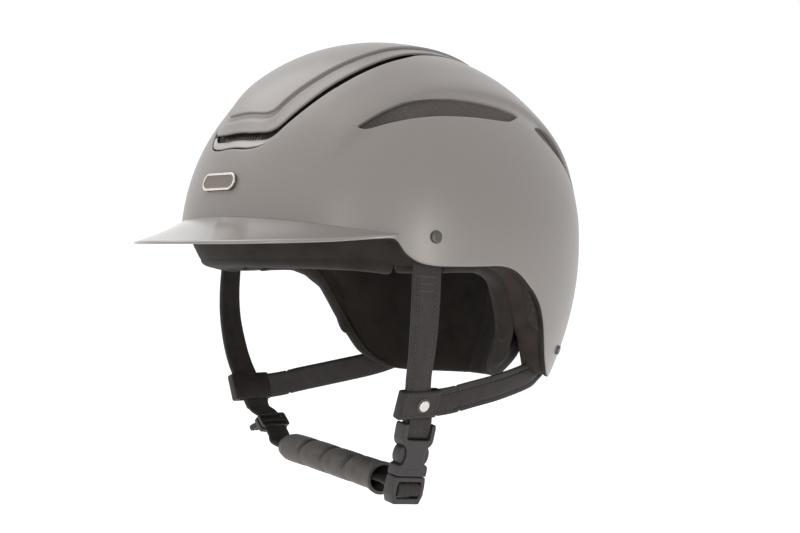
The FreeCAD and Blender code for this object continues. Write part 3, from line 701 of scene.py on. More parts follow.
def shell_grid(columns, rows, rim_table):
    """The dome's wall from a rim line up towards the crown: rows of rings."""
    angle = np.linspace(0, 2 * np.pi, columns, endpoint=False)
    rim = lookup(rim_table, plan_y(angle))
    rows_t = np.linspace(0, 1, rows)[:, None]
    skirt = (BROW_Z - rim)[None, :]
    skirt_pos = np.clip(skirt, 0, None)
    total = skirt + QUARTER_ARC * TOP_DEGREES / 90
    length = rows_t * total
    theta = np.radians(np.clip((length - skirt) / QUARTER_ARC * 90, 0, 90))
    rise = np.sin(theta) ** (2 / RISE_POWER)
    z = np.where(length < skirt_pos, rim[None, :] + length, BROW_Z + DOME_HEIGHT * rise)
    points = ring_point(angle[None, :].repeat(rows, 0), z)
    return points.reshape(-1, 3), grid_faces(rows, columns, True)


def band_distance(points):
    d = outline_distance(plan_outline(BAND), points[:, :2])
    return np.where(points[:, 2] > 40, d, 50.0)


def vent_distance(outline, points):
    line = smooth_line(outline, 160, True)
    near = (points[:, 2] > 35) & (np.abs(points[:, 0]) > 20)
    d = np.full(len(points), 50.0)
    d[near] = outline_distance(line, points[near][:, 1:])
    return d


def make_shell():
    points, faces = shell_grid(SHELL_COLUMNS, SHELL_ROWS, SHELL_RIM)
    for distance in (band_distance, lambda p: vent_distance(SIDE_VENT, p), lambda p: vent_distance(REAR_VENT, p)):
        points, faces = carve(points, faces, distance)
    points = points + dome_normal(points) * ridge_lift(points)[:, None]
    points, faces = thicken(points, faces[:, ::-1], SHELL_WALL, 0.9)
    return finish_piece(new_object("shell", points, faces, 50), "helmet", LACQUER, ["outer_shell"])


def vent_frame_points(outline, side, count_y, count_z, grow, inset):
    """A fine grid over a vent, on the dome inset behind the shell."""
    line = arr(outline)
    low = line.min(0) - grow - 1
    high = line.max(0) + grow + 1
    y, z = np.meshgrid(np.linspace(low[0], high[0], count_y), np.linspace(low[1], high[1], count_z))
    origin = np.stack([np.zeros(y.size), y.ravel(), z.ravel()], 1)
    direction = np.tile(arr([side, 0, 0]), (y.size, 1))
    return cast(origin, direction, -inset)


MESH_PITCH = 1.25
MESH_WIRE = 0.52
MESH_INSET = 2.6


def make_vent_mesh(name, outline, side, node):
    """Woven wire insert: a diamond grid of fine struts in the opening."""
    line = arr(outline)
    size = line.max(0) - line.min(0)
    pitch = MESH_PITCH
    columns = int(size[0] / pitch) + 6
    rows = int(size[1] * 1.25 / pitch) + 6
    points = vent_frame_points(outline, side, 2 * columns + 1, 2 * rows + 1, 2, MESH_INSET)
    inside = outline_distance(smooth_line(outline, 160, True), points[:, 1:]) < 1.2
    width = 2 * columns + 1
    faces = []
    for i in range(1, 2 * rows):
        for j in range(1 + (i % 2), 2 * columns, 2):
            quad = [(i - 1) * width + j, i * width + j + 1, (i + 1) * width + j, i * width + j - 1]
            if inside[quad].all():
                faces.append(quad)
    faces = np.array(faces)
    points, faces = compact(points, faces)
    obj = new_object(name, points, faces, 60)
    wires = obj.modifiers.new("wires", "WIREFRAME")
    wires.thickness = MESH_WIRE * MM
    wires.use_even_offset = False
    wires.use_boundary = True
    bake_modifiers(obj)
    return finish_piece(obj, "helmet", MESH, [node])


def bake_modifiers(obj):
    """Replace an object's mesh with its result and drop its modifiers."""
    bpy.context.view_layer.update()
    mesh = bpy.data.meshes.new_from_object(obj.evaluated_get(bpy.context.evaluated_depsgraph_get()))
    obj.modifiers.clear()
    obj.data = mesh
    return obj


def vent_back(name, outline, side):
    """The pocket wall behind a vent insert, near-black: painted shade inside the vent."""
    points = vent_frame_points(outline, side, 60, 16, 4, 9.0)
    faces = grid_faces(16, 60)
    if side > 0:
        faces = faces[:, ::-1]
    d_line = smooth_line(outline, 120, True)
    points, faces = carve(points, faces, lambda p: 3.5 - outline_distance(d_line, p[:, 1:]))
    points, faces = thicken(points, faces, 1.5, 0.3, 2)
    return finish_piece(new_object(name, points, faces), "helmet", DARK_PAINTED_SHADE)


# ---------------------------------------------------------------- crown band
def crown_grid(half, columns, rows, low_degrees=18.0, high_degrees=160.0):
    """A pole-free grid over the crown: columns across, rows from front to rear."""
    x = np.linspace(-half, half, columns)
    tilt = np.radians(np.linspace(low_degrees, high_degrees, rows))
    xx, tt = np.meshgrid(x, tilt)
    origin = np.stack([xx.ravel(), np.zeros(xx.size), np.full(xx.size, BROW_Z)], 1)
    direction = np.stack([np.zeros(xx.size), -np.cos(tt.ravel()), np.sin(tt.ravel())], 1)
    return cast(origin, direction), grid_faces(rows, columns)


def outside_of(side):
    line = plan_outline(side)
    return lambda p: outline_distance(line, p[:, :2])


def make_crown():
    base, base_faces = crown_grid(54, 136, 340)
    normal = dome_normal(base)
    band = outside_of(BAND)
    cover = outside_of(COVER)
    panel = outside_of(PANEL)

    def layer(offset, distance):
        lifted = base + normal * np.reshape(offset, (-1, 1))
        return carve(lifted, base_faces, distance)

    d_band = -band(base)
    d_cover = cover(base)
    slope = np.clip(d_band / (np.clip(d_band, 0, None) + np.clip(d_cover, 0, None) + 1e-6), 0, 1)
    ramp_offset = -0.45 - 3.4 * slope ** 1.4
    points, faces = layer(ramp_offset, lambda p: np.minimum(-1.8 - band(p), cover(p) - 0.2))
    front = points[faces].mean(1)[:, 1] < -64
    points, faces = thicken(points, faces[front], 1.0, 0.25, 2)
    trim = new_object("intake_trim", points, faces, 45)
    # The trim's lighter lacquer is painted light, not a paint of its own.
    finish_piece(trim, "helmet", TRIM_PAINTED_LIGHT, ["intake_trim"])

    points, faces = layer(-4.3, lambda p: 1.2 - band(p))
    points, faces = thicken(points, faces, 0.8, 0.2, 2)
    tray = new_object("crown_tray", points, faces)
    # The tray's near-black is painted shade in the gap under the cover.
    finish_piece(tray, "helmet", DARK_PAINTED_SHADE, ["crown_tray"])

    around = panel(base)
    dip = 0.55 * ease(0.2, 5.0, around) + 0.8 * np.exp(-((around - 0.35) / 0.7) ** 2)
    points, faces = layer(0.95 - dip, lambda p: -cover(p))
    points, faces = thicken(points, faces, 1.7, 0.55)
    piece = new_object("crown_cover", points, faces, 50)
    finish_piece(piece, "helmet", LACQUER, ["crown_cover"])

    points, faces = layer(2.35, lambda p: -panel(p))
    points, faces = thicken(points, faces, 1.9, 0.5)
    piece = new_object("crown_panel", points, faces, 50)
    finish_piece(piece, "helmet", LACQUER, ["crown_panel"])


RIB_RADIUS = 0.5
RIB_PITCH = 2.5


def make_intake():
    """The ribbed grille in the shadow of the intake."""
    parts = []
    for x in np.arange(-17.5, 17.6, RIB_PITCH):
        origin = arr([[x, 0, z] for z in np.linspace(70.5, 76.5, 6)])
        direction = np.tile(arr([0, -1, 0]), (6, 1))
        line = cast(origin, direction, -4.0)
        parts.append(sweep(line, np.tile(arr([1, 0, 0]), (6, 1)), round_section(RIB_RADIUS, 8)))
    points, faces = join_parts(parts)
    finish_piece(new_object("intake_mesh", points, faces), "helmet", MESH, ["intake_mesh"])


# ---------------------------------------------------------------- peak
def make_peak():
    count = 121
    roots = smooth_line([(-x, z) for x, z in reversed(PEAK_ROOT[1:])] + PEAK_ROOT, count)
    origin = np.stack([roots[:, 0], np.zeros(count), roots[:, 1]], 1)
    root = cast(origin, np.tile(arr([0, -1, 0]), (count, 1)))
    edge = smooth_line([(-x, y, z) for x, y, z in reversed(PEAK_EDGE[1:])] + PEAK_EDGE, count)
    inward = unit((root - edge) * arr([1, 1, 0]))
    span = np.linalg.norm(edge - root, axis=1)[:, None]
    grade = np.clip(span / 50, 0.15, 1)
    top = []
    for t in np.linspace(0, 1, 22):
        sag = 4 * t * (1 - t)
        top.append(root + (edge - root) * t - arr([0, 0, 1]) * 1.5 * sag * grade)
    run = unit(edge - root)
    down = arr([0, 0, 1])
    upper = [root + inward * 4 - down * 0.2] + top
    lip = []
    for k in range(1, 6):
        a = k / 6 * math.pi
        lip.append(edge + run * 0.95 * math.sin(a) - down * 0.95 * (1 - math.cos(a)))
    lower = []
    for t in np.linspace(1, 0, 12):
        sag = 4 * t * (1 - t)
        wall = 1.9 + 1.6 * (1 - t)
        lower.append(root + (edge - root) * t - down * (wall + 1.5 * sag * grade))
    under_root = [root + inward * 4 - down * 3.5]
    loops = np.stack(upper + lip + lower + under_root, 1)
    points, faces = tube(loops)
    finish_piece(new_object("peak", points, faces, 60), "helmet", PEAK_LACQUER, ["peak"])


# ---------------------------------------------------------------- badge and fasteners
BADGE_Z = 47.5


def stadium(length, height, count=16):
    radius = height / 2
    straight = length / 2 - radius
    outline = []
    for side, start in ((1, -90), (-1, 90)):
        for a in np.radians(np.linspace(start, start + 180, count)):
            outline.append((side * straight + radius * math.cos(a), radius * math.sin(a)))
    return outline


def on_forehead(lift):
    """Wrap flat (across, up, out) points on to the forehead."""
    def place(flat):
        origin = np.stack([flat[:, 0], np.zeros(len(flat)), BADGE_Z + flat[:, 1]], 1)
        seat = cast(origin, np.tile(arr([0, -1, 0]), (len(flat), 1)))
        return seat + dome_normal(seat) * (flat[:, 2:3] + lift)
    return place


def make_badge():
    outer = [(-a, b) for a, b in stadium(32, 10)]
    inner = [(-a, b) for a, b in stadium(29.6, 7.6)]
    back = plate("badge_back", [outer], 0.8, 0.25, on_forehead(0.75))
    field = plate("badge_field", [inner], 0.25, 0.1, on_forehead(1.6))
    rim = plate("badge_ring", [outer, inner], 0.45, 0.2, on_forehead(1.8))
    points, faces = join_parts([back, field])
    finish_piece(new_object("badge_plate", points, faces), "helmet", BADGE_DARK, ["badge_plate"])
    finish_piece(new_object("badge_rim", *rim), "helmet", BADGE_LIGHT, ["badge_rim"])


def make_fasteners():
    for node, material in (("anchor_screw_left", DARK_METAL), ("anchor_screw_right", DARK_METAL),
                           ("anchor_nuts", STEEL), ("rear_rivet_left", DARK_METAL), ("rear_rivet_right", DARK_METAL),
                           ("keeper_stud_left", STUD_METAL), ("keeper_stud_right", STUD_METAL),
                           ("eps_liner", FOAM), ("hook_patches", LINING)):
        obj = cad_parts[node]
        for slot in obj.material_slots:
            slot.material = material


# ---------------------------------------------------------------- liner
def liner_loop(angle, top_z):
    """The pad's closed section at each plan angle: rows of (inset, z), bottom roll included."""
    y = plan_y(angle)
    rim = lookup(LINER_RIM, y)
    out = lookup(LINER_OUT, y)
    inn = lookup(LINER_IN, y)
    foam = lookup(FOAM_RIM, y) - 1.0
    wall = inn - out
    shoulder = np.minimum(foam, rim + 14)
    back = np.maximum(out + 1, 27.6)
    inner_top = np.full_like(y, 36.0)
    slant = 15 * ease(62, 84, y)
    keys = [
        (back, top_z), (back, shoulder + 3 + slant), (out + 2, shoulder + slant), (out, rim + 7 + slant),
        (out + 0.3, rim + 3.4 + slant),
        (out + 0.16 * wall, rim + 1.0 + slant * 0.86), (out + 0.36 * wall, rim + slant * 0.62),
        (out + 0.62 * wall, rim + 0.2 + slant * 0.28),
        (out + 0.86 * wall, rim + 1.9), (inn, rim + 5.5), (inn + 0.6, rim + 12),
        (inn * 0.5 + inner_top * 0.5 + 1, rim * 0.5 + top_z * 0.5), (inner_top + 1, top_z - 7),
        (inner_top - 1, top_z - 1.5), (inner_top - 4.5, top_z + 0.3),
    ]
    return [(arr(s) + 0 * y, arr(z) + 0 * y) for s, z in keys]


def make_pad(name, start, end, top_z, nodes, channels=()):
    """A sewn pad over a sector of the rim, puffed between its seams."""
    count = max(24, int(abs(end - start) / 1.1))
    angle = np.radians(np.linspace(start, end, count))
    keys = liner_loop(angle, top_z)
    loops = []
    for i, a in enumerate(angle):
        section = arr([(s[i], z[i]) for s, z in keys])
        section = smooth_line(section, 44, True)
        from_end = min(i, count - 1 - i) / 4.0
        pinch = 0.86 + 0.14 * math.sin(min(from_end, 1) * math.pi / 2)
        middle = section.mean(0)
        section = middle + (section - middle) * arr([pinch, 0.9 + 0.1 * pinch])
        degrees = math.degrees(a)
        for seam in channels:
            groove = math.exp(-((degrees - seam) / 1.1) ** 2)
            inner = section[:, 0] > middle[0]
            section[inner, 0] -= 1.6 * groove
        loops.append(ring_point(np.full(len(section), a), section[:, 1], section[:, 0]))
    points, faces = tube(loops)
    obj = new_object(name, points, faces, 70)
    puff(obj, 3.0, 1.2)
    finish_piece(obj, "helmet", KNIT, nodes)


def puff(obj, pressure, cap):
    """Stuff a sewn pad: blown up a little as cloth, no point moving past the cap."""
    rest = arr([v.co for v in obj.data.vertices])
    cloth = obj.modifiers.new("cloth", "CLOTH")
    cloth.settings.use_pressure = True
    cloth.settings.uniform_pressure_force = pressure
    cloth.settings.effector_weights.gravity = 0
    cloth.settings.quality = 6
    cloth.point_cache.frame_start = 1
    cloth.point_cache.frame_end = 20
    scene = bpy.context.scene
    for frame_number in range(1, 21):
        scene.frame_set(frame_number)
    bake_modifiers(obj)
    scene.frame_set(1)
    moved = arr([v.co for v in obj.data.vertices]) - rest
    length = np.linalg.norm(moved, axis=1, keepdims=True)
    moved *= np.minimum(1, cap * MM / np.maximum(length, 1e-9))
    obj.data.vertices.foreach_set("co", (rest + moved).ravel())
    smoother = obj.modifiers.new("soft", "SUBSURF")
    smoother.levels = 1
    smoother.render_levels = 1
    bake_modifiers(obj)


def make_piping(name, start, end, inset_shift, z_shift, radius):
    """A sewn cord along a pad's edge."""
    angle = np.radians(np.linspace(start, end, int(abs(end - start) * 1.6)))
    y = plan_y(angle)
    rim = lookup(LINER_RIM, y) + z_shift
    inset = lookup(LINER_IN, y) + inset_shift
    line = ring_point(angle, rim, inset)
    points, faces = sweep(line, np.tile(arr([0, 0, 1]), (len(line), 1)), round_section(radius, 10))
    finish_piece(new_object(name, points, faces, 80), "helmet", KNIT)


def make_lining():
    """The lined edge of the foam, from the shell's rim in to the pads. Its front part, under the peak, takes the darker
    knit as painted shade.
    """
    angle = np.radians(np.arange(0, 360, 0.8))
    y = plan_y(angle)
    shell = lookup(SHELL_RIM, y)
    rim = lookup(LINER_RIM, y)
    out = lookup(LINER_OUT, y)
    rear = ease(44, 70, y)
    wall_z = shell + 1.6
    pad_z = rim + 4.5
    loops = []
    for i, a in enumerate(angle):
        near = [(SHELL_WALL + 0.3, wall_z[i]), (SHELL_WALL + 2.5, wall_z[i] * 0.9 + pad_z[i] * 0.1),
                (out[i] * 0.6 + 2, wall_z[i] * 0.45 + pad_z[i] * 0.55),
                (out[i] * 0.8 + 1.5, wall_z[i] * 0.2 + pad_z[i] * 0.8),
                (out[i] + 1.5, pad_z[i]), (out[i] + 2.5, pad_z[i] + 3)]
        lobe = [(SHELL_WALL + 0.3, wall_z[i]), (SHELL_WALL + 3, wall_z[i] - 1.5), (14.0, wall_z[i] - 1.8),
                (18.5, wall_z[i] + 0.8), (21.0, wall_z[i] + 7), (24.0, wall_z[i] + 18)]
        face = arr(near) * (1 - rear[i]) + arr(lobe) * rear[i]
        back = face[::-1] + arr([0.6, 2.5])
        section = smooth_line(np.vstack([face, back]), 40, True)
        loops.append(ring_point(np.full(len(section), a), section[:, 1], section[:, 0]))
    points, faces = tube(loops, closed_path=True)
    obj = finish_piece(new_object("edge_lining", points, faces, 60), "helmet", LINING)
    # Faces in front (y below -30 mm) take the darker knit: painted shade under the peak.
    obj.data.materials.append(KNIT)
    for face in obj.data.polygons:
        face.material_index = int(face.center.y < -0.03)


BINDING_HALF = 1.4
BINDING_DROP = 0.75


def make_rim_binding():
    """The dark cord that closes the shell's wall all round its rim."""
    angle = np.radians(np.arange(0, 360.5, 0.5))
    rim = lookup(SHELL_RIM, plan_y(angle))
    line = ring_point(angle, rim, 0.0)
    line = smooth_line(line, 900)
    normal = dome_normal(line)
    run = unit(np.gradient(line, axis=0))
    below = unit(np.cross(normal, run))
    below *= np.sign(-below[:, 2:3])
    path = line - normal * 1.9 + below * 0.6
    section = arr([(math.copysign(abs(math.cos(a)) ** 0.5 * BINDING_HALF, math.cos(a)),
                    math.copysign(abs(math.sin(a)) ** 0.5 * BINDING_DROP, math.sin(a)))
                   for a in np.linspace(0, 2 * np.pi, 16, endpoint=False)])
    points, faces = sweep(path, normal, section)
    finish_piece(new_object("rim_binding", points, faces, 80), "helmet", KNIT)


def make_crown_pad():
    """A quilted pad in the top of the liner."""
    count = 49
    x, y = np.meshgrid(np.linspace(-42, 42, count), np.linspace(-50, 58, count))
    flat = np.stack([x.ravel(), y.ravel()], 1)
    origin = np.stack([flat[:, 0], flat[:, 1], np.full(len(flat), BROW_Z)], 1)
    seat = cast(origin, np.tile(arr([0, 0, 1]), (len(flat), 1)), -28.0)
    lobe = (np.abs(flat[:, 0] / 40) ** 2.6 + np.abs((flat[:, 1] - 4) / 52) ** 2.6) ** (1 / 2.6)
    quilt = np.abs(np.sin(flat[:, 0] * math.pi / 20)) * np.abs(np.sin((flat[:, 1] - 4) * math.pi / 26))
    swell = 8.0 * np.clip(1 - lobe ** 6, 0, 1) ** 0.5 * (0.7 + 0.3 * quilt ** 0.5)
    points = seat - dome_normal(seat) * swell[:, None]
    faces = grid_faces(count, count)
    points, faces = carve(points, faces[:, ::-1], lambda p: 1.0 - (np.abs(p[:, 0] / 40) ** 2.6
                          + np.abs((p[:, 1] - 4) / 52) ** 2.6))
    points, faces = thicken(points, faces, 1.2, 0.4, 2)
    obj = finish_piece(new_object("crown_pad", points, faces, 70), "helmet", KNIT, ["crown_pad"])


# ---------------------------------------------------------------- harness
def strap_section(width, wall, padded):
    """Half-round edges, flat borders, stitch grooves and a padded middle."""
    half = width / 2
    groove = half - 3.3
    top = []
    for u in np.linspace(-half + 0.5, half - 0.5, 41):
        edge = wall / 2
        dent = 0.42 * math.exp(-((abs(u) - groove) / 0.55) ** 2)
        pad = padded * math.sqrt(max(0.0, 1 - (u / groove) ** 2)) if abs(u) < groove else 0.0
        top.append((u, edge - dent + pad))
    right = [(half - 0.15, wall * 0.32), (half, 0.0), (half - 0.15, -wall * 0.32)]
    bottom = [(u, -wall / 2) for u in np.linspace(half - 0.5, -half + 0.5, 9)]
    left = [(-u, -v) for u, v in right]
    return arr(top + right + bottom + left)


def strap_parts(path_points, turns, width, wall, padded, count, across=None):
    path = smooth_line(path_points, count)
    if across is None:
        key = np.linspace(0, 1, len(turns))
        across = turned(np.interp(np.linspace(0, 1, count), key, turns))
    _, wide, out = frames_along(path, across)
    body = sweep(path, across, strap_section(width, wall, padded))
    threads = []
    for side in (-1, 1):
        threads += stitch_row(path, wide, out, side * (width / 2 - 3.3), wall / 2 - 0.22)
    return body, threads


def strap_object(name, body_part, threads, body, nodes):
    points, faces = body_part
    obj = new_object(name, points, faces, 60)
    finish_piece(obj, body, LEATHER, nodes)
    thread_points, thread_faces = join_parts(threads)
    thread = new_object(name + "_stitching", thread_points, thread_faces, 80)
    finish_piece(thread, body, THREAD)
    return obj, thread


def make_front_straps():
    for side, name in ((1, "left"), (-1, "right")):
        body, threads = strap_parts(FRONT_STRAP, FRONT_TURN, STRAP_WIDTH, STRAP_WALL, 0.5, 90)
        path = smooth_line(FRONT_STRAP, 90)
        key = np.linspace(0, 1, len(FRONT_TURN))
        across = turned(np.interp(np.linspace(0, 1, 90), key, FRONT_TURN))
        run, wide, out = frames_along(path, across)
        for row in range(3):
            start = 22 + row * 3
            ends = [path[start] + wide[start] * s * 5.2 + out[start] * 1.55 for s in (-1, 1)]
            threads.append(capsule(ends[0], ends[1], run[start], out[start], 0.5, 0.4))
        if side < 0:
            body = mirrored(body)
            threads = [mirrored(thread) for thread in threads]
        strap_object("front_strap_" + name, body, threads, "harness", ["front_strap_" + name])


def make_rear_straps():
    up = np.tile(arr([0, 0, 1.0]), (70, 1))
    tip = [(84.5, -21.5, -81.1), (84.6, -18.7, -81.1), (84.8, -11.0, -80.5), BLEND_SPLIT]
    main = [tip[-1]] + REAR_STRAP[1:]
    for side, name in ((1, "left"), (-1, "right")):
        for kind, route, count in (("rear_strap_", main, 70), ("rear_strap_tip_", tip, 12)):
            body, threads = strap_parts(route, [0], REAR_WIDTH, REAR_WALL, 0.35, count, up[:count])
            if side < 0:
                body = mirrored(body)
                threads = [mirrored(thread) for thread in threads]
            nodes = ["rear_strap_" + name] if kind == "rear_strap_" else []
            obj, thread = strap_object(kind + name, body, threads, "harness", nodes)
            for piece in (obj, thread):
                piece.parent = None
                piece.matrix_world = piece.matrix_world
                if kind == "rear_strap_":
                    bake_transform(piece)
                else:
                    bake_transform(piece)


def local_frame(origin, run, across, flip=1):
    """A placer for flat (across, along, out) points in strap directions."""
    run = unit(run)
    wide = unit(arr(across) - run * (run @ arr(across)))
    out = np.cross(run, wide)

    def place(flat):
        world = arr(origin) + flat[:, :1] * wide + flat[:, 1:2] * run + flat[:, 2:3] * out
        return world * arr([flip, 1, 1])
    return place


def fixed_winding(part, flip):
    points, faces = part
    return (points, [f[::-1] for f in faces]) if flip < 0 else (points, faces)


def loop_sleeve(width, inner, wall, inner_wall, height, bevel, place):
    """A sleeve round a strap: a flat ring section standing along the strap."""
    angles = np.linspace(0, 2 * np.pi, 56, endpoint=False)

    def ring(half_w, half_t):
        power = 0.22
        return arr([(half_w * math.copysign(abs(math.cos(a)) ** power, math.cos(a)),
                     half_t * math.copysign(abs(math.sin(a)) ** power, math.sin(a))) for a in angles])
    half = height / 2
    loops = []
    for z, grow in ((half, -bevel), (half - bevel * 0.35, -bevel * 0.3), (half - bevel, 0), (0, 0),
                    (-half + bevel, 0), (-half + bevel * 0.35, -bevel * 0.3), (-half, -bevel)):
        loops.append((z, ring(width / 2 + grow, wall / 2 + grow)))
    for z in (-half, half):
        loops.append((z, ring(inner / 2, inner_wall / 2)))
    flat = [np.stack([ring_2d[:, 0], np.full(len(ring_2d), z), ring_2d[:, 1]], 1) for z, ring_2d in loops]
    points, faces = tube(flat, closed_path=True)
    return place(points), faces


def make_keepers():
    for side, name in ((1, "left"), (-1, "right")):
        place = local_frame(KEEPER_MIDDLE, KEEPER_RUN, (0, 1, 0), side)
        sleeve = loop_sleeve(29.0, 22.0, 6.2, 3.6, 17.4, 1.0, place)
        sleeve = fixed_winding(sleeve, -side)
        body = "keeper_" + name
        obj = new_object("keeper_" + name, *sleeve, 50)
        finish_piece(obj, body, LEATHER, ["keeper_" + name])
        threads = []
        corners = [(-12.4, -6.6), (12.4, -6.6), (12.4, 6.6), (-12.4, 6.6)]
        for a, b in zip(corners, corners[1:] + corners[:1]):
            length = math.dist(a, b)
            steps = int(length / 2.9)
            for k in range(steps):
                p = arr(a) + (arr(b) - arr(a)) * (k + 0.15) / steps
                q = arr(a) + (arr(b) - arr(a)) * (k + 0.85) / steps
                ends = place(arr([[p[0], p[1], 3.2], [q[0], q[1], 3.2]]))
                run = unit(ends[1] - ends[0])
                out = place(arr([[0, 0, 1]])) - place(arr([[0, 0, 0]]))
                threads.append(capsule(ends[0], ends[1], np.cross(run, out[0]), out[0], 0.42, 0.4))
        points, faces = join_parts(threads)
        finish_piece(new_object("keeper_stitching_" + name, points, faces, 80), body, THREAD)
        ring = []
        for a in np.linspace(0, 2 * np.pi, 40, endpoint=False):
            for b in np.linspace(0, 2 * np.pi, 10, endpoint=False):
                r = 4.1 + 0.5 * math.cos(b)
                ring.append((2 + r * math.cos(a), r * math.sin(a), 3.2 + 0.5 * math.sin(b)))
        loops = place(arr(ring)).reshape(40, 10, 3)
        points, faces = tube(loops, closed_path=True)
        finish_piece(new_object("stud_ring_" + name, points, faces, 80), body, DARK_METAL)


def buckle_place(flat):
    return local_frame(BUCKLE_TOP, BUCKLE_AXIS, (0, 1, 0))(flat)


def mirror_outline(half):
    return half + [(-v, u) for v, u in reversed(half)]


def ribbed_wrap(start, end, half_width, bulge, ribs):
    """Webbing folded round a bar: a bowed, ribbed strip seen on the front face."""
    rows = 16
    columns = 60
    loops = []
    for i in range(columns):
        v = -half_width + 2 * half_width * i / (columns - 1)
        ridge = 0.28 * abs(math.sin((v / (2 * half_width) + 0.5) * math.pi * ribs)) ** 0.6
        loop = []
        for k in range(rows):
            a = 2 * math.pi * k / rows
            u = (start + end) / 2 + (end - start) / 2 * math.copysign(abs(math.cos(a)) ** 0.6, math.cos(a))
            w = (bulge + ridge) * math.copysign(abs(math.sin(a)) ** 0.6, math.sin(a))
            loop.append((v, u, w))
        loops.append(loop)
    points, faces = tube(loops)
    return buckle_place(points), faces


def make_buckle():
    half = [(7.2, 8.2), (8.8, 7.4), (9.0, -1.0), (11.4, -1.4), (12.0, 1.0), (11.8, 8.8), (10.8, 11.2), (8.4, 13.0),
            (7.4, 15.0), (7.0, 17.6), (7.4, 20.6), (8.6, 22.6), (10.9, 23.6), (11.3, 25.5), (11.3, 30.0)]
    front = plate("socket_front", [rounded(mirror_outline(half), 1.0, 4)], 4.7, 0.8, buckle_place)
    bar = plate("socket_bar", [rounded([(-9.6, 1.2), (9.6, 1.2), (9.6, 3.4), (-9.6, 3.4)], 0.6, 3)], 1.4, 0.5,
                buckle_place)
    rib = rounded([(-4.6, 25.2), (4.6, 25.2), (4.6, 28.4), (-4.6, 28.4)], 0.8, 4)
    panel = plate("socket_rib", [rib], 4.95, 0.35, buckle_place)
    points, faces = join_parts([front, bar, panel])
    socket = new_object("buckle_socket", points, faces, 40)
    finish_piece(socket, "harness", PLASTIC, ["buckle_socket"])
    wrap_points, wrap_faces = ribbed_wrap(-6.5, 8.6, 8.4, 3.4, 3)
    wrap = new_object("socket_webbing", wrap_points, wrap_faces, 60)
    finish_piece(wrap, "harness", LEATHER)

    base = [(11.3, 30.35), (11.7, 33.0), (12.0, 36.0), (12.0, 41.5), (9.8, 46.8)]
    outline = rounded(mirror_outline(base), 1.0, 4)
    window = rounded([(-8.8, 33.4), (8.8, 33.4), (8.8, 43.2), (-8.8, 43.2)], 1.2, 4)
    frame_part = plate("plug_frame", [outline, window], 4.4, 0.8, buckle_place)
    bar = plate("plug_bar", [rounded([(-9.2, 37.2), (9.2, 37.2), (9.2, 39.6), (-9.2, 39.6)], 0.6, 3)], 1.3, 0.5,
                buckle_place)
    tongue = plate("plug_tongue", [rounded([(-2.4, 10), (2.4, 10), (2.4, 31), (-2.4, 31)], 0.8, 4)], 2.3, 0.5,
                   buckle_place)
    points, faces = join_parts([frame_part, bar, tongue])
    plug = new_object("buckle_plug", points, faces, 40)
    finish_piece(plug, "buckle_plug", PLASTIC, ["buckle_plug"])
    points, faces = ribbed_wrap(34.2, 42.4, 8.0, 4.9, 4)
    finish_piece(new_object("plug_webbing", points, faces, 60), "buckle_plug", WEBBING)

    arc = [(8.5 + 3.1 * math.sin(a), 17.6 - 5.4 * math.cos(a)) for a in np.linspace(0.25, math.pi - 0.25, 18)]
    arm = rounded([(5.3, 11.0), (8.2, 11.0)] + arc + [(8.6, 24.0), (8.6, 30.1), (5.3, 30.1)], 0.4, 3)
    for name, sign in (("release_arm_rear", 1), ("release_arm_front", -1)):
        outline = [(sign * v, u) for v, u in arm]
        if sign < 0:
            outline = outline[::-1]
        part = plate(name, [outline], 3.3, 0.7, buckle_place)
        finish_piece(new_object(name, *part, 40), name, PLASTIC, [name])


def webbing_section(width, wall, ribs):
    half = width / 2
    top = []
    for u in np.linspace(-half + 0.3, half - 0.3, 49):
        phase = abs(math.sin((u / width + 0.5) * math.pi * ribs))
        top.append((u, wall / 2 - 0.28 + 0.42 * phase ** 0.5))
    bottom = [(-u, -v) for u, v in top]
    return arr(top + [(half, 0)] + bottom + [(-half, 0)])


def make_chin():
    path = smooth_line(CHIN_PATH, 130)
    across = np.tile(arr([0, 1.0, 0]), (130, 1))
    points, faces = sweep(path, across, webbing_section(16.0, 1.9, 4))
    finish_piece(new_object("chin_webbing", points, faces, 60), "harness", WEBBING, ["chin_webbing"])
    run = unit(BUCKLE_AXIS)
    bar = arr(BUCKLE_TOP) + run * 38.4
    route = [(53.7, -31.05, -128.2), (58, -31.8, -128.8), (63, -33.5, -129.6), bar + arr([-4.6, 0, 0.2]),
             bar + arr([-2.4, 0, 0])]
    tail = smooth_line(route, 26)
    points, faces = sweep(tail, across[:26], webbing_section(15.6, 1.8, 4))
    end = new_object("chin_webbing_end", points, faces, 60)
    finish_piece(end, "harness", WEBBING, ["chin_webbing_end"])
    end.parent = None
    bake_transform(end)

    make_guard(path)
    make_slider()


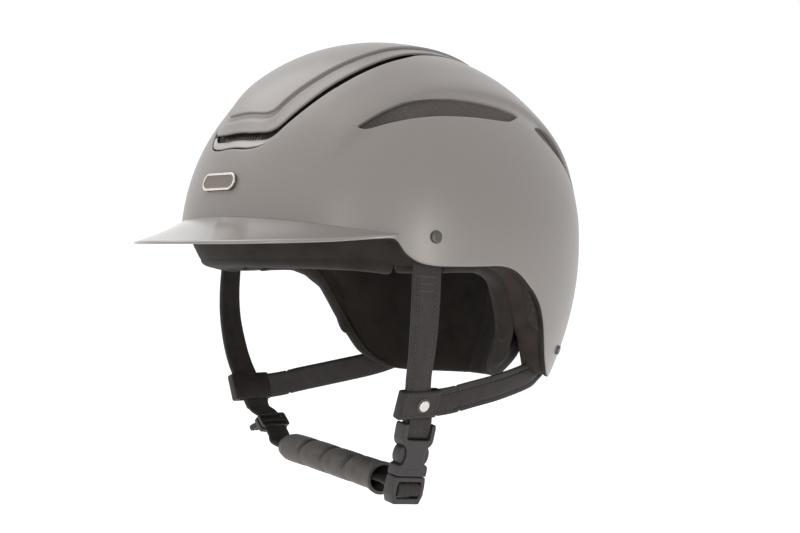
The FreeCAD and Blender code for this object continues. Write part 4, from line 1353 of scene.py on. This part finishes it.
def make_guard(path):
    """The chin guard: a wrapped, creased sleeve open at its ends."""
    keep = np.abs(path[:, 0]) < GUARD_HALF + 3
    line = smooth_line(path[keep], 150)
    inside = np.abs(line[:, 0]) <= GUARD_HALF
    line = smooth_line(line[inside], 150)
    _, wide, out = frames_along(line, np.tile(arr([0, 1.0, 0]), (150, 1)))
    up = -out * np.sign(-out[:, 2:3])
    angles = np.linspace(0, 2 * np.pi, 72, endpoint=False)
    creases = (0.27, 0.51, 0.75)
    loops_out = []
    loops_in = []
    for i in range(150):
        t = i / 149
        outer = []
        inner = []
        for a in angles:
            top = max(0.0, math.sin(a))
            under = max(0.0, -math.sin(a))
            dent = 0.0
            for crease in creases:
                shift = (t - crease) * 2 * GUARD_HALF - 2.6 * math.cos(a)
                dent += 2.9 * top ** 0.7 * math.exp(-(shift / 1.0) ** 2) + 0.8 * under * math.exp(-(shift / 0.8) ** 2)
            segment = 0.35 * abs(math.sin(math.pi * (t - 0.03) / 0.24)) ** 0.5
            flare = 2.0 * ease(0.92, 1.0, t) * (0.3 + 0.7 * under)
            trim = 1.4 * (1 - ease(0, 0.05, t))
            w = 10.3 + segment - dent + flare - trim
            h = 8.6 + segment - dent + flare - trim
            outer.append(line[i] + wide[i] * w * math.cos(a) + up[i] * h * math.sin(a))
            inner.append(line[i] + wide[i] * (w - 2.0) * math.cos(a) + up[i] * (h - 2.0) * math.sin(a))
        loops_out.append(outer)
        loops_in.append(inner)
    loops = arr(loops_out + loops_in[::-1])
    points, faces = tube(loops, closed_path=True)
    obj = new_object("chin_guard", points, faces, 60)
    finish_piece(obj, "chin_guard", GUARD, ["chin_guard"])


def make_slider():
    """The three-bar slider on the wearer's right, with the webbing's folded end."""
    low = arr([-61.5, -28.8, -110.3])
    high = arr([-72, -28.8, -99.7])
    middle = low + (high - low) * 0.65
    place = local_frame(middle, high - low, (0, 1, 0))
    outline = rounded([(-10.5, -5.2), (10.5, -5.2), (10.5, 5.2), (-10.5, 5.2)], 2.0, 5)
    slots = [rounded([(-8.6, a), (8.6, a), (8.6, b), (-8.6, b)], 0.8, 3) for a, b in ((-3.7, -1.2), (1.2, 3.7))]
    part = plate("slider_frame", [outline] + slots, 1.5, 0.6, lambda flat: place(flat + arr([0, 0, 1.9])))
    back = plate("slider_back", [outline] + slots, 1.2, 0.5, lambda flat: place(flat + arr([0, 0, -1.9])))
    points, faces = join_parts([part, back])
    slider = new_object("chin_slider", points, faces, 40)
    finish_piece(slider, "chin_slider", PLASTIC, ["chin_slider"])
    run = unit(high - low)
    out = place(arr([[0, 0, 1]]))[0] - place(arr([[0, 0, 0]]))[0]
    route = [middle + run * -4 + out * 3.2, middle + run * 1 + out * 4.2, middle + run * 4 + out * 7,
             middle + run * 6 + out * 11, middle + run * 7 + out * 14.5]
    line = smooth_line(route, 24)
    points, faces = sweep(line, np.tile(arr([0, 1.0, 0]), (24, 1)), webbing_section(15.0, 3.2, 4))
    finish_piece(new_object("webbing_tail", points, faces, 60), "chin_slider", WEBBING)


# ---------------------------------------------------------------- stage, lights and camera
def make_stage():
    """A pale dish: flat floor that curves up all round."""
    floor_z = -0.30
    angles = np.linspace(0, 2 * np.pi, 96, endpoint=False)
    rings = []
    for radius, height in ((0.01, 0), (1.2, 0), (2.6, 0), (3.4, 0.02), (4.2, 0.08), (4.9, 0.2), (5.4, 0.34)):
        rings.append([(radius * math.cos(a) / MM, radius * math.sin(a) / MM, (floor_z + height) / MM) for a in angles])
    points, faces = tube(rings, caps=False)
    obj = new_object("floor", points, faces, 80)
    material, tree, surface = shader("floor_white", (0.97, 0.97, 0.97), 0.8, specular=0.1)
    tone = texture(tree, "ShaderNodeTexNoise", 2.0)
    pale = ramp(tree, tone.outputs["Fac"], (0.965, 0.965, 0.965), (0.975, 0.975, 0.975))
    tree.links.new(pale, surface.inputs["Base Color"])
    surface.inputs["Emission Color"].default_value = (1, 1, 1, 1)
    surface.inputs["Emission Strength"].default_value = 0.16
    obj.data.materials.append(material)
    obj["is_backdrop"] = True


def area_light(name, azimuth, elevation, distance, size, power, tall=None, target=(0, 0, 0.02)):
    """A soft box that looks at the helmet."""
    data = bpy.data.lights.new(name, "AREA")
    data.shape = "RECTANGLE"
    data.size = size
    data.size_y = tall or size
    data.energy = power
    a = math.radians(azimuth)
    e = math.radians(elevation)
    light = bpy.data.objects.new(name, data)
    place = arr([math.sin(a) * math.cos(e), -math.cos(a) * math.cos(e), math.sin(e)]) * distance + arr(target)
    light.location = place.tolist()
    light.rotation_euler = look(place, target)
    bpy.context.scene.collection.objects.link(light)


def look(place, target):
    """The rotation that points -Z from a place to a target."""
    d = unit(arr(target) - arr(place))
    pitch = math.acos(max(-1.0, min(1.0, -d[2])))
    yaw = math.atan2(d[1], d[0]) - math.pi / 2
    return (pitch, 0, yaw)


CAMERA_AZIMUTH = 51.16
CAMERA_ELEVATION = 0.371
CAMERA_DISTANCE = 1.1125


def make_camera():
    data = bpy.data.cameras.new("camera")
    data.lens = 79.65
    data.sensor_width = 36.0
    data.shift_x = 0.034
    data.shift_y = -0.0047
    a = math.radians(CAMERA_AZIMUTH)
    e = math.radians(CAMERA_ELEVATION)
    place = arr([math.sin(a) * math.cos(e), -math.cos(a) * math.cos(e), math.sin(e)]) * CAMERA_DISTANCE
    camera = bpy.data.objects.new("camera", data)
    camera.location = place.tolist()
    camera.rotation_euler = look(place, (0, 0, 0))
    bpy.context.scene.collection.objects.link(camera)
    bpy.context.scene.camera = camera


def make_light():
    world = bpy.data.worlds.new("studio")
    world.use_nodes = True
    tree = world.node_tree
    background = tree.nodes["Background"]
    background.inputs["Color"].default_value = (1, 1, 1, 1)
    direction = tree.nodes.new("ShaderNodeTexCoord")
    toward = tree.nodes.new("ShaderNodeVectorMath")
    toward.operation = "DOT_PRODUCT"
    toward.inputs[1].default_value = (-0.80, -0.02, 0.60)
    tree.links.new(direction.outputs["Generated"], toward.inputs[0])
    glow = tree.nodes.new("ShaderNodeMapRange")
    glow.inputs["From Min"].default_value = -0.9
    glow.inputs["From Max"].default_value = 0.42
    glow.inputs["To Min"].default_value = 0.42
    glow.inputs["To Max"].default_value = 1.08
    tree.links.new(toward.outputs["Value"], glow.inputs["Value"])
    tree.links.new(glow.outputs["Result"], background.inputs["Strength"])
    bpy.context.scene.world = world
    bpy.context.scene.view_settings.view_transform = "Standard"
    area_light("side_strip", 92, 0, 1.7, 0.06, 4.4, 0.7)
    area_light("front_strip", 42, 4, 1.8, 0.16, 2.6, 0.9)
    area_light("top_box", -70, 58, 1.9, 1.5, 13)


make_camera()
make_light()
make_stage()
make_shell()
for vent_name, vent_outline in (("side", SIDE_VENT), ("rear", REAR_VENT)):
    for vent_side, side_name in ((1, "left"), (-1, "right")):
        node_name = vent_name + "_vent_mesh_" + side_name
        make_vent_mesh(node_name, vent_outline, vent_side, node_name)
        vent_back(vent_name + "_vent_back_" + side_name, vent_outline, vent_side)
make_crown()
make_intake()
make_peak()
make_badge()
make_fasteners()
make_pad("forehead_pad", 118, 242, 44, ["forehead_pad"], (150, 180, 210))
make_pad("temple_pad_left", 102.8, 117.6, 44, ["temple_pad_left"])
make_pad("temple_pad_right", 242.4, 257.2, 44, ["temple_pad_right"])
make_pad("nape_pad", -102.4, 102.4, 34, ["nape_pad"], (0,))
make_lining()
make_rim_binding()
make_piping("ear_piping_left", 52, 92, 0.6, 6.5, 0.9)
make_piping("ear_piping_right", 268, 308, 0.6, 6.5, 0.9)
make_crown_pad()
make_front_straps()
make_rear_straps()
make_keepers()
make_buckle()
make_chin()

visual_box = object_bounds()
{"cad": arr(cad_box).tolist(), "visual": arr(visual_box).tolist()}
